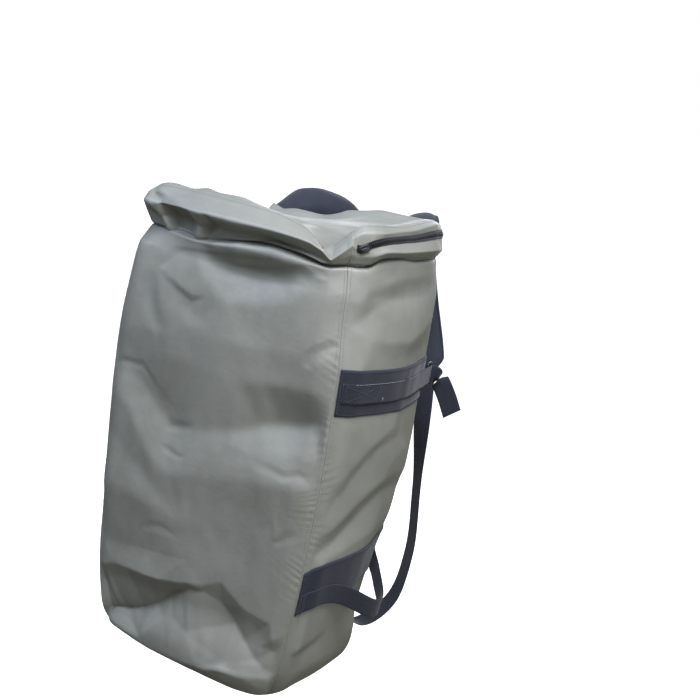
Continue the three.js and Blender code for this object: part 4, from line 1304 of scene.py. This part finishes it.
def centripetal(points):
    """A smooth line through the points, as closely spaced points."""
    padded = np.concatenate([[2 * points[0] - points[1]], points, [2 * points[-1] - points[-2]]])
    t = np.linspace(0, 1, SPAN_POINTS, endpoint=False)[:, None]
    line = []
    for k in range(len(points) - 1):
        p0, p1, p2, p3 = padded[k : k + 4]
        d0, d1, d2 = (np.linalg.norm(b - a) ** 0.5 for a, b in ((p0, p1), (p1, p2), (p2, p3)))
        m1 = ((p1 - p0) / d0 - (p2 - p0) / (d0 + d1) + (p2 - p1) / d1) * d1
        m2 = ((p2 - p1) / d1 - (p3 - p1) / (d1 + d2) + (p3 - p2) / d2) * d1
        square = -3 * p1 + 3 * p2 - 2 * m1 - m2
        cube = 2 * p1 - 2 * p2 + m1 + m2
        line.append(p1 + m1 * t + square * t**2 + cube * t**3)
    return np.concatenate([*line, points[-1:]])


def steady(direction):
    """A direction that stays the same all along a strap."""
    return lambda u: np.broadcast_to(direction, (len(u), 3))


def strap_frame(line, count, hint):
    """Even points along a strap, its directions along, across and out, and the shares of its length."""
    far = far_along(line)
    u = np.linspace(0, 1, count + 1)
    points = line_at(u * far[-1], far, line)
    along = unit(np.gradient(points, axis=0))
    wide = hint(u)
    wide = unit(wide - (wide * along).sum(-1, keepdims=True) * along)
    return points, along, wide, np.cross(along, wide), u


def ribbon(node, line, hint, width, stuff=NAVY_WEB, step=STRIP_STEP, across=STRIP_ACROSS, slant=0.0):
    """A flat strap along a line, named after its node. The slant cuts its far end at an angle."""
    ending, material, slot, thickness = stuff
    length = run_length(line)
    points, along, wide, deep, u = strap_frame(line, max(LEAST_STEPS, round(length / step)), hint)
    v = across_strip(across)[:, None]
    cut = slant * v * np.maximum(0, 1 - (1 - u) * length / width)
    grid = points + (v * width)[..., None] * wide + (cut * width)[..., None] * along
    uv = np.stack(np.broadcast_arrays(u * length, v * width), -1)
    skin = strip_skin(grid, np.broadcast_to(deep, grid.shape), 0.0, thickness, uv, v)
    made = skin.done(f"{node}_{ending}", [material], [node], slot)


# The zip across the top of the right side
ZIP_FROM, ZIP_TO, ZIP_STOP, ZIP_END, ZIP_Z = 0.03, 0.96, 0.1, 0.956, 612.0
TAPE_WIDTH, TAPE_GAP = 13.0, 0.4
TAPE = ("cloth", ZIP_CLOTH, "zip_cloth", 0.8)
TOOTH_PITCH, TOOTH_HALF, TOOTH_LEAN, TOOTH_LOW, TOOTH_CROWN = 1.5, 2.9, 0.55, 1.5, 0.55
TOOTH_RADIUS, TOOTH_SIDES, TOOTH_POINTS = 0.62, 6, 6
strip("zip_tape", "right", ZIP_FROM, ZIP_TO, TAPE_WIDTH, lambda s: ZIP_Z + 0 * s, TAPE_GAP, TAPE)


def zip_teeth():
    places = np.arange(ZIP_STOP, ZIP_END, TOOTH_PITCH / side_run("right", ZIP_Z))
    base, out, along = cloth_at("right", places, ZIP_Z)
    up = np.cross(out, along)
    reach = np.linspace(-TOOTH_HALF, TOOTH_HALF, TOOTH_POINTS)[:, None]
    crown = TOOTH_LOW + TOOTH_CROWN * (1 - (reach / TOOTH_HALF) ** 2)
    lines, normals = [], []
    for k in range(len(places)):
        lean = (TOOTH_LEAN if k % 2 else -TOOTH_LEAN) * reach / TOOTH_HALF
        lines.append(base[k] + reach * up[k] + lean * along[k] + crown * out[k])
        normals.append(np.broadcast_to(out[k], (TOOTH_POINTS, 3)))
    tubes("zip_coil_teeth", lines, normals, TOOTH_RADIUS, TOOTH_SIDES, PLASTIC, ["zip_coil"], "black_plastic")


zip_teeth()


def rounded_loop(count, power):
    """The two coordinates of a square with rounded corners that reaches from -1 to 1."""
    turn = np.linspace(0, 2 * math.pi, count, endpoint=False)
    return [np.sign(way) * np.abs(way) ** power for way in (np.cos(turn), np.sin(turn))]


# The zip slider's two blocks: length, width and shift along the zip, then the height and inset of each ring
SLIDER_S = 0.066
SLIDER_BLOCKS = (
    (13.5, 9.6, 0.0, ((1.2, 0.6), (1.5, 0.1), (2.3, 0.0), (2.9, 0.25), (3.2, 0.9))),
    (8.5, 3.4, -1.0, ((3.1, 0.0), (4.2, 0.15), (4.9, 0.5), (5.1, 1.1))),
)
SLIDER_POINTS, SLIDER_POWER = 32, 0.35


def zip_slider():
    base, out, along = (v[0] for v in cloth_at("right", [SLIDER_S], ZIP_Z))
    up = np.cross(out, along)
    x, y = rounded_loop(SLIDER_POINTS, SLIDER_POWER)
    skin = Skin()
    for length, width, shift, levels in SLIDER_BLOCKS:
        rings = [[x * (length / 2 - inset), y * (width / 2 - inset), 0 * x + high] for high, inset in levels]
        rings = np.moveaxis(rings, 1, -1) + [shift, 0, 0]
        skin.bar(base + rings @ np.stack([along, up, out]), rings[..., :2])
    return skin.done("zip_slider_body", [PLASTIC], ["zip_slider"], "black_plastic")


zip_slider()

# The upper right strap with its buckle and hanging tail
UPPER_TO, UPPER_POINTS = 0.8, 76
FREE_FROM, FREE_TO, FREE_POINTS = 2.0, 58.0, 18
UP = np.array([0.0, 0.0, 1.0])
strap_end, strap_out, strap_away = (v[0] for v in cloth_at("right", [UPPER_TO], UPPER_Z))


def upper_strap():
    s = np.linspace(STRAP_FROM, UPPER_TO, UPPER_POINTS)
    points, out, along = cloth_at("right", s, UPPER_Z)
    free = points[-1] + along[-1] * np.linspace(FREE_FROM, FREE_TO, FREE_POINTS)[:, None]
    line = np.concatenate([points + out * (ON_BAND + WEB / 2), free + out[-1] * (ON_BAND + WEB / 2)])
    ribbon("upper_strap_right", line, steady(-UP), STRAP_WIDTH)


upper_strap()

# The tail's way off the buckle's bar: how far away along the strap, out of it and up, then where it hangs
TAIL_START = ((-4.0, 1.4, 0.0), (1.0, 6.4, -1.0), (1.0, 13.4, -6.0))
TAIL_TOP = (1.0, 13.4, 0.0)
TAIL_DROP, TAIL_ASIDE, TAIL_SLANT, TAIL_TURN = 51.0, 27.0, -0.15, (0.03, 0.4)
TAIL_WIDE = unit(np.array([0.88, 0.47, 0.0]))


def off_strap(away, out, up):
    return strap_end + strap_away * (FREE_TO + away) + strap_out * (ON_STRAP + out) + UP * up


def upper_tail():
    top = off_strap(*TAIL_TOP)
    end = top - UP * TAIL_DROP + TAIL_WIDE * TAIL_ASIDE
    points = np.array([*(off_strap(*place) for place in TAIL_START), (top + end) / 2, end])

    def hint(u):
        t = smoothstep(u, *TAIL_TURN)[:, None]
        return -UP * (1 - t) + TAIL_WIDE * t

    ribbon("upper_tail_right", centripetal(points), hint, STRAP_WIDTH, slant=TAIL_SLANT)


upper_tail()

# The ladder-lock buckle
BUCKLE_LENGTH, BUCKLE_HEIGHT, BUCKLE_THICKNESS, BUCKLE_RIM, BUCKLE_BAR = 22.0, 34.0, 4.0, 3.5, 3.0
BUCKLE_POINTS, BUCKLE_POWER, BUCKLE_GAP = 72, 0.28, 0.3
BAR_POINTS, BAR_POWER, BAR_RINGS, BAR_DEPTH_SHARE = 16, 0.6, 24, 0.85


def moulded_bar(skin, line, out, width, depth, closed):
    """A moulded bar with a rounded section along a line."""
    x, y = rounded_loop(BAR_POINTS, BAR_POWER)
    along = np.roll(line, -1, axis=0) - np.roll(line, 1, axis=0) if closed else np.gradient(line, axis=0)
    wide = np.cross(unit(along), out)
    grid = line[:, None] + (x * width / 2)[:, None] * wide[:, None] + (y * depth / 2)[:, None] * out
    if not closed:
        skin.bar(grid)
        return
    index = skin.add(grid, np.zeros((*grid.shape[:2], 2)))
    skin.quads(np.concatenate([index, index[:1]]), closed=True)


def buckle():
    upright = unit(np.cross(strap_out, strap_away))
    out = np.cross(strap_away, upright)
    middle = strap_end + strap_away * FREE_TO + out * (ON_BAND - BUCKLE_GAP - BUCKLE_THICKNESS / 2)
    half_length, half_height = (BUCKLE_LENGTH - BUCKLE_RIM) / 2, (BUCKLE_HEIGHT - BUCKLE_RIM) / 2
    x, y = rounded_loop(BUCKLE_POINTS, BUCKLE_POWER)
    loop = middle + (x * half_length)[:, None] * strap_away + (y * half_height)[:, None] * upright
    bar = middle + np.linspace(-half_height, half_height, BAR_RINGS)[:, None] * upright
    skin = Skin()
    moulded_bar(skin, loop, out, BUCKLE_RIM, BUCKLE_THICKNESS, True)
    moulded_bar(skin, bar, out, BUCKLE_BAR, BUCKLE_THICKNESS * BAR_DEPTH_SHARE, False)
    return skin.done("upper_buckle_right_plastic", [PLASTIC], ["upper_buckle_right"], "black_plastic")


buckle()

# The shoulder straps, by places to the right, to the front and up: a pad's middle line beyond its tab, and
# the webbing from the pad's lower end on
PAD_RUN = rows("""
115 138 604
107 152 617
92 176 626
72 207 627
56 240 616
50 266 586
53 280 545
66 284 495
88 278 440
112 256 394
""")
WEB_RUN = rows("""
130 238 330
145 233 224
158 222 130
158 190 62
138 132 34
""")
# The webbing comes down on its foot: heights, and how far off it still is
WEB_LANDING = rows("""
48 14
66 2.5
94 0.6
""")
PAD_WIDTH, PAD_THICKNESS, PAD_BANK = 62.0, 18.0, 0.45
TAB_X, TAB_LENGTH, TAB_THICKNESS, TAB_WIDTH = 120.0, 0.09, 2.0, 40.0
FOOT_X, FOOT_LOW, FOOT_HIGH, FOOT_WIDTH = 114.0, 54.0, 98.0, 40.0
# A quarter of a pad's section, from the middle of its face to its bound edge: shares of half its width and
# of half its thickness
PAD_SECTION = rows("""
0 1
0.2 0.99
0.4 0.95
0.58 0.86
0.7 0.74
0.79 0.57
0.845 0.38
0.87 0.26
0.885 0.24
0.93 0.27
0.97 0.24
0.995 0.12
""")
PAD_DROOP, PAD_INNER_DROOP, PAD_POINTS, PAD_FILL = 4.0, 10.0, 150, 0.7
PAD_STITCH, PAD_BOUND, STITCH_NEAR, STITCH_SKIP = 0.845, 0.86, 0.01, 3
PAD_NECK = (34.0, 4.0)
# Where along a pad, as shares of its length, it widens, narrows, leans and takes its crown
PAD_RISE, PAD_FALL, PAD_FALL_SHARE = (0.1, 0.2), (0.93, 1.0), 0.55
PAD_LEAN, PAD_LEAN_RISE = 0.18, (0.1, 0.35)
CROWN_RISE, CROWN_FALL = (0.1, 0.25), (0.45, 0.65)
RIPPLE, RIPPLE_WAVES, RIPPLE_TURN = 0.03, (41, 17), 1
PAD_STAND_OFF = 5.0
TAB_CLOTH = ("cloth", TARPAULIN, "tarpaulin", TAB_THICKNESS)
TAB_POINTS, TAB_STEP, TAB_ACROSS, TAB_GAP = 200, 1.6, 14, 0.5
FOOT_GAP, FOOT_THICKNESS, FOOT_RIM, FOOT_RIM_SHARE = 0.3, 2.0, 1.2, 0.35
FOOT_ROWS, FOOT_COLUMNS = 19, 17
WEB_GAP, WEB_IN_PAD, WEB_OUT_OF_PAD = 0.4, 6.0, 14.0
WEB_TWIST, WEB_TURN, WEB_TURN_RISE, WEB_TURN_FALL = 0.18, 0.9, (0.08, 0.35), (0.85, 0.6)
# Each shoulder strap: the side it is on, the way that side lies, and the heights its tab is sewn between
SHOULDER_STRAPS = (("right", 1, 560.0, 586.0), ("left", -1, 590.0, 616.0))


def front_share(x, z):
    """Where along the front panel a place to the right is, at a height."""
    return (middle_of(section(z))[0] - x) / wall_run("front", z) + 0.5


def on_front(x, z, off):
    """Points some way off the front panel."""
    z = np.asarray(z, float)
    points, normals, _ = cloth_at("front", front_share(x, z), z)
    return points + normals * np.broadcast_to(off, z.shape)[..., None]


def pad_crown(u):
    """How near a place along a pad is to its crown, from 0 to 1."""
    return smoothstep(u, *CROWN_RISE) - smoothstep(u, *CROWN_FALL)


def pad_profile(u):
    """The width and thickness along a pad, which is narrow where it is sewn on and at its lower end."""
    rise = smoothstep(u, *PAD_RISE)
    fall = 1 - PAD_FALL_SHARE * smoothstep(u, *PAD_FALL)
    return [(neck + (full - neck) * rise) * fall for neck, full in zip(PAD_NECK, (PAD_WIDTH, PAD_THICKNESS))]


def pad(node, line, hint, sign):
    """A padded strap with a bound edge, named after its node. Gives its lower end and its direction there."""
    points, along, wide, deep, u = strap_frame(line, PAD_POINTS, hint)
    width, thick = pad_profile(u)
    crown, half = PAD_SECTION[:1], PAD_SECTION[1:]
    loop = [crown, half, half[::-1] * [1, -1], crown * [1, -1], half * [-1, -1], half[::-1] * [-1, 1]]
    loop = np.concatenate(loop)
    grid = points[:, None] + loop[None, :, :1] * (width / 2)[:, None, None] * wide[:, None]
    ripple = 1 + RIPPLE * np.sin(u * RIPPLE_WAVES[0]) * np.sin(u * RIPPLE_WAVES[1] + RIPPLE_TURN)
    grid = grid + loop[None, :, 1:] * (thick / 2 * ripple)[:, None, None] * deep[:, None]
    inner = np.maximum(0, -sign * loop[:, 0])
    droop = pad_crown(u)[:, None] * (PAD_DROOP * loop[:, 0] ** 2 + PAD_INNER_DROOP * inner**2)[None]
    grid = grid + droop[..., None] * deep[:, None]
    outward = grid_normals(grid, closed=True)
    outward *= np.sign((outward * (grid - points[:, None])).sum(-1, keepdims=True))
    sewn = slice(STITCH_SKIP, -STITCH_SKIP)
    for j in np.nonzero(np.abs(np.abs(loop[:, 0]) - PAD_STITCH) < STITCH_NEAR)[0]:
        navy_stitches.run(grid[sewn, j], outward[sewn, j])
    skin = Skin()
    around = far_along(loop * [PAD_WIDTH / 2, PAD_THICKNESS / 2])
    index = skin.add(grid, np.stack(np.broadcast_arrays((u * run_length(line))[:, None], around), -1))
    for j, following in enumerate(np.roll(np.arange(len(loop)), -1)):
        bound = min(abs(loop[j, 0]), abs(loop[following, 0])) > PAD_BOUND
        faces = np.stack([index[:-1, j], index[1:, j], index[1:, following], index[:-1, following]], -1)
        skin.face_list(faces, 1 if bound else 0)
    skin.face_list([index[0], index[-1][::-1]])
    obj = skin.done(f"{node}_padding", [PADDING, WEBBING], [node], "padding")
    return points[-1], along[-1]


def foot(node, x):
    """A patch sewn on the front panel, named after its node."""
    up, across = np.linspace(FOOT_LOW, FOOT_HIGH, FOOT_ROWS), np.linspace(0, 1, FOOT_COLUMNS)
    z, share = np.meshgrid(up, across, indexing="ij")
    s = front_share(x + FOOT_WIDTH / 2, z) * (1 - share) + front_share(x - FOOT_WIDTH / 2, z) * share
    points = cloth("front", s, z)
    edge = np.minimum(np.minimum(share, 1 - share) * FOOT_WIDTH, np.minimum(z - FOOT_LOW, FOOT_HIGH - z))
    rounded = np.sqrt(np.clip(1 - (1 - np.minimum(edge, FOOT_RIM) / FOOT_RIM) ** 2, 0, 1))
    top = FOOT_GAP + FOOT_THICKNESS * (FOOT_RIM_SHARE + (1 - FOOT_RIM_SHARE) * rounded)
    uv = np.stack([share * FOOT_WIDTH, z], -1)
    skin = sheet_skin(points, grid_normals(points), FOOT_GAP, top, uv, 1)
    made = skin.done(f"{node}_cloth", [TARPAULIN], [node], "tarpaulin")


def shoulder_strap(side, sign, low, high):
    """A padded strap on its tab, and the webbing from its lower end to a foot on the front panel."""
    mirror = np.array([sign, 1, 1])
    start = on_front(sign * TAB_X, [low, high], PAD_STAND_OFF)
    pad_line = centripetal(np.concatenate([start, PAD_RUN * mirror]))

    def pad_hint(u):
        lean, bank = PAD_LEAN * smoothstep(u, *PAD_LEAN_RISE), PAD_BANK * pad_crown(u)
        return np.stack([np.ones_like(u), sign * lean, sign * bank], -1)

    def web_hint(u):
        twist = (WEB_TWIST - WEB_TURN * smoothstep(u, *WEB_TURN_RISE)) * smoothstep(u, *WEB_TURN_FALL)
        return np.stack([np.ones_like(u), sign * twist, 0 * u], -1)

    pad_end, pad_along = pad(f"shoulder_pad_{side}", pad_line, pad_hint, sign)
    points, _, _, deep, u = strap_frame(pad_line, TAB_POINTS, pad_hint)
    to_bag = deep * np.where(deep[:, 1:2] < 0, 1, -1)
    off = pad_profile(u)[1] / 2 + TAB_GAP + TAB_THICKNESS / 2
    tab_line = (points + to_bag * off[:, None])[: round(TAB_LENGTH * TAB_POINTS) + 1]
    level = steady(np.array([1.0, 0.0, 0.0]))
    ribbon(f"strap_tab_{side}", tab_line, level, TAB_WIDTH, TAB_CLOTH, TAB_STEP, TAB_ACROSS)
    foot(f"strap_foot_{side}", sign * FOOT_X)
    web_off = FOOT_GAP + FOOT_THICKNESS + WEB_GAP + WEB / 2
    landing = on_front(sign * FOOT_X, WEB_LANDING[:, 0], web_off + WEB_LANDING[:, 1])
    web_start = [pad_end - pad_along * WEB_IN_PAD, pad_end + pad_along * WEB_OUT_OF_PAD]
    web_line = centripetal(np.concatenate([web_start, WEB_RUN * mirror, landing]))
    ribbon(f"strap_web_{side}", web_line, web_hint, STRAP_WIDTH)


for strap in SHOULDER_STRAPS:
    shoulder_strap(*strap)
navy_stitches.done("webbing_stitches", NAVY_THREAD, "webbing")
pale_highlight_and_tack_stitches.done("strap_edge_highlight_and_tack_stitches", PALE_THREAD, "webbing")

# Camera, floor and light
CAMERA = dict(place=(0.8557, -1.5207, 0.1509), azimuth=28.93, elevation=11.54, roll=10.23, lens=60.4)
SENSOR = 36.0
FLOOR_HALF, FLOOR_Z, FLOOR_GLOW = 40.0, -1.15, 0.95
BACKDROP_RADIUS, BACKDROP_SEGMENTS, BACKDROP_RINGS = 38.0, 48, 24
# Each light: its name, its place, the place it points at, its size, its power and its colour
LIGHTS = (
    ("sky", (0.74, -1.02, 1.5), (0.0, -0.18, -0.3), 1.2, 51.0, (0.97, 0.99, 1.04)),
    ("upper", (-0.85, -1.1, 0.85), (-0.1, -0.3, -0.06), 0.6, 6.5, (0.72, 0.92, 1.35)),
    ("side", (1.9, -0.5, -0.3), (0.15, -0.15, -0.55), 0.7, 6.0, (1.0, 0.99, 0.95)),
    ("front", (-0.9, 2.2, 0.1), (0.0, 0.0, -0.3), 1.6, 22.0, (0.98, 0.99, 1.03)),
)


def add_camera():
    a, e, r = (math.radians(CAMERA[key]) for key in ("azimuth", "elevation", "roll"))
    back = Vector((math.sin(a) * math.cos(e), -math.cos(a) * math.cos(e), math.sin(e)))
    right = Vector((math.cos(a), math.sin(a), 0.0))
    up = back.cross(right)
    level = math.cos(r) * right + math.sin(r) * up
    upright = -math.sin(r) * right + math.cos(r) * up
    data = bpy.data.cameras.new("camera")
    data.sensor_width = SENSOR
    data.lens = CAMERA["lens"]
    obj = bpy.data.objects.new("camera", data)
    turn = Matrix((level, upright, back)).transposed()
    obj.matrix_world = Matrix.Translation(CAMERA["place"]) @ turn.to_4x4()
    scene.collection.objects.link(obj)
    scene.camera = obj


def add_light(name, place, aim, size, energy, colour):
    data = bpy.data.lights.new(name, "AREA")
    data.shape = "DISK"
    data.size = size
    data.energy = energy
    data.color = colour
    obj = bpy.data.objects.new(name, data)
    obj.location = place
    obj.rotation_euler = (Vector(aim) - Vector(place)).to_track_quat("-Z", "Y").to_euler()
    scene.collection.objects.link(obj)


def add_stage(mesh, hidden_from, **looks):
    """A piece of the studio that gives light to the view and not to the bag."""
    n = Nodes(mesh.name)
    n.set(Specular_IOR_Level=0.0, Emission_Color=rgba(1.0, 1.0, 1.0), **looks)
    mesh.materials.append(n.material)
    obj = bpy.data.objects.new(mesh.name, mesh)
    scene.collection.objects.link(obj)
    for ray in hidden_from:
        setattr(obj, f"visible_{ray}", False)


def add_floor():
    mesh = bpy.data.meshes.new("floor")
    corners = [(x * FLOOR_HALF, y * FLOOR_HALF, FLOOR_Z) for x, y in ((-1, -1), (1, -1), (1, 1), (-1, 1))]
    mesh.from_pydata(corners, [], [(0, 1, 2, 3)])
    grey = rgba(0.86, 0.86, 0.86)
    add_stage(mesh, ("diffuse", "glossy"), Base_Color=grey, Roughness=0.95, Emission_Strength=FLOOR_GLOW)


def add_backdrop():
    mesh = bpy.data.meshes.new("backdrop")
    dome = bmesh.new()
    bmesh.ops.create_uvsphere(
        dome, u_segments=BACKDROP_SEGMENTS, v_segments=BACKDROP_RINGS, radius=BACKDROP_RADIUS)
    dome.to_mesh(mesh)
    dome.free()
    hidden_from = ("diffuse", "glossy", "transmission", "volume_scatter", "shadow")
    add_stage(mesh, hidden_from, Base_Color=rgba(0.0, 0.0, 0.0), Emission_Strength=1.0)


# The sky's brightness by height, from straight below to straight above, with a tint for each half
SKY = ((0.0, 0.2), (0.45, 0.40), (0.55, 0.50), (0.68, 0.85), (0.8, 1.0), (1.0, 1.0))
HORIZON = 0.5
GROUND_TINT, SKY_TINT = (1.08, 1.04, 0.84), (0.94, 0.98, 1.08)
SKY_STRENGTH = 0.4


def add_world():
    world = bpy.data.worlds.new("studio")
    scene.world = world
    world.use_nodes = True
    nodes, links = world.node_tree.nodes, world.node_tree.links
    background = nodes["Background"]
    place = nodes.new("ShaderNodeTexCoord")
    split = nodes.new("ShaderNodeSeparateXYZ")
    links.new(place.outputs["Generated"], split.inputs[0])
    share = nodes.new("ShaderNodeMapRange")
    share.inputs["From Min"].default_value = -1.0
    links.new(split.outputs[2], share.inputs["Value"])
    ramp = nodes.new("ShaderNodeValToRGB")
    while len(ramp.color_ramp.elements) < len(SKY):
        ramp.color_ramp.elements.new(1.0)
    for element, (at, bright) in zip(ramp.color_ramp.elements, SKY):
        element.position = at
        tint = SKY_TINT if at > HORIZON else GROUND_TINT
        element.color = rgba(*(bright * c for c in tint))
    links.new(share.outputs[0], ramp.inputs[0])
    links.new(ramp.outputs[0], background.inputs[0])
    background.inputs[1].default_value = SKY_STRENGTH


scene.view_settings.view_transform = "Standard"
add_camera()
add_floor()
add_backdrop()
add_world()
for light in LIGHTS:
    add_light(*light)
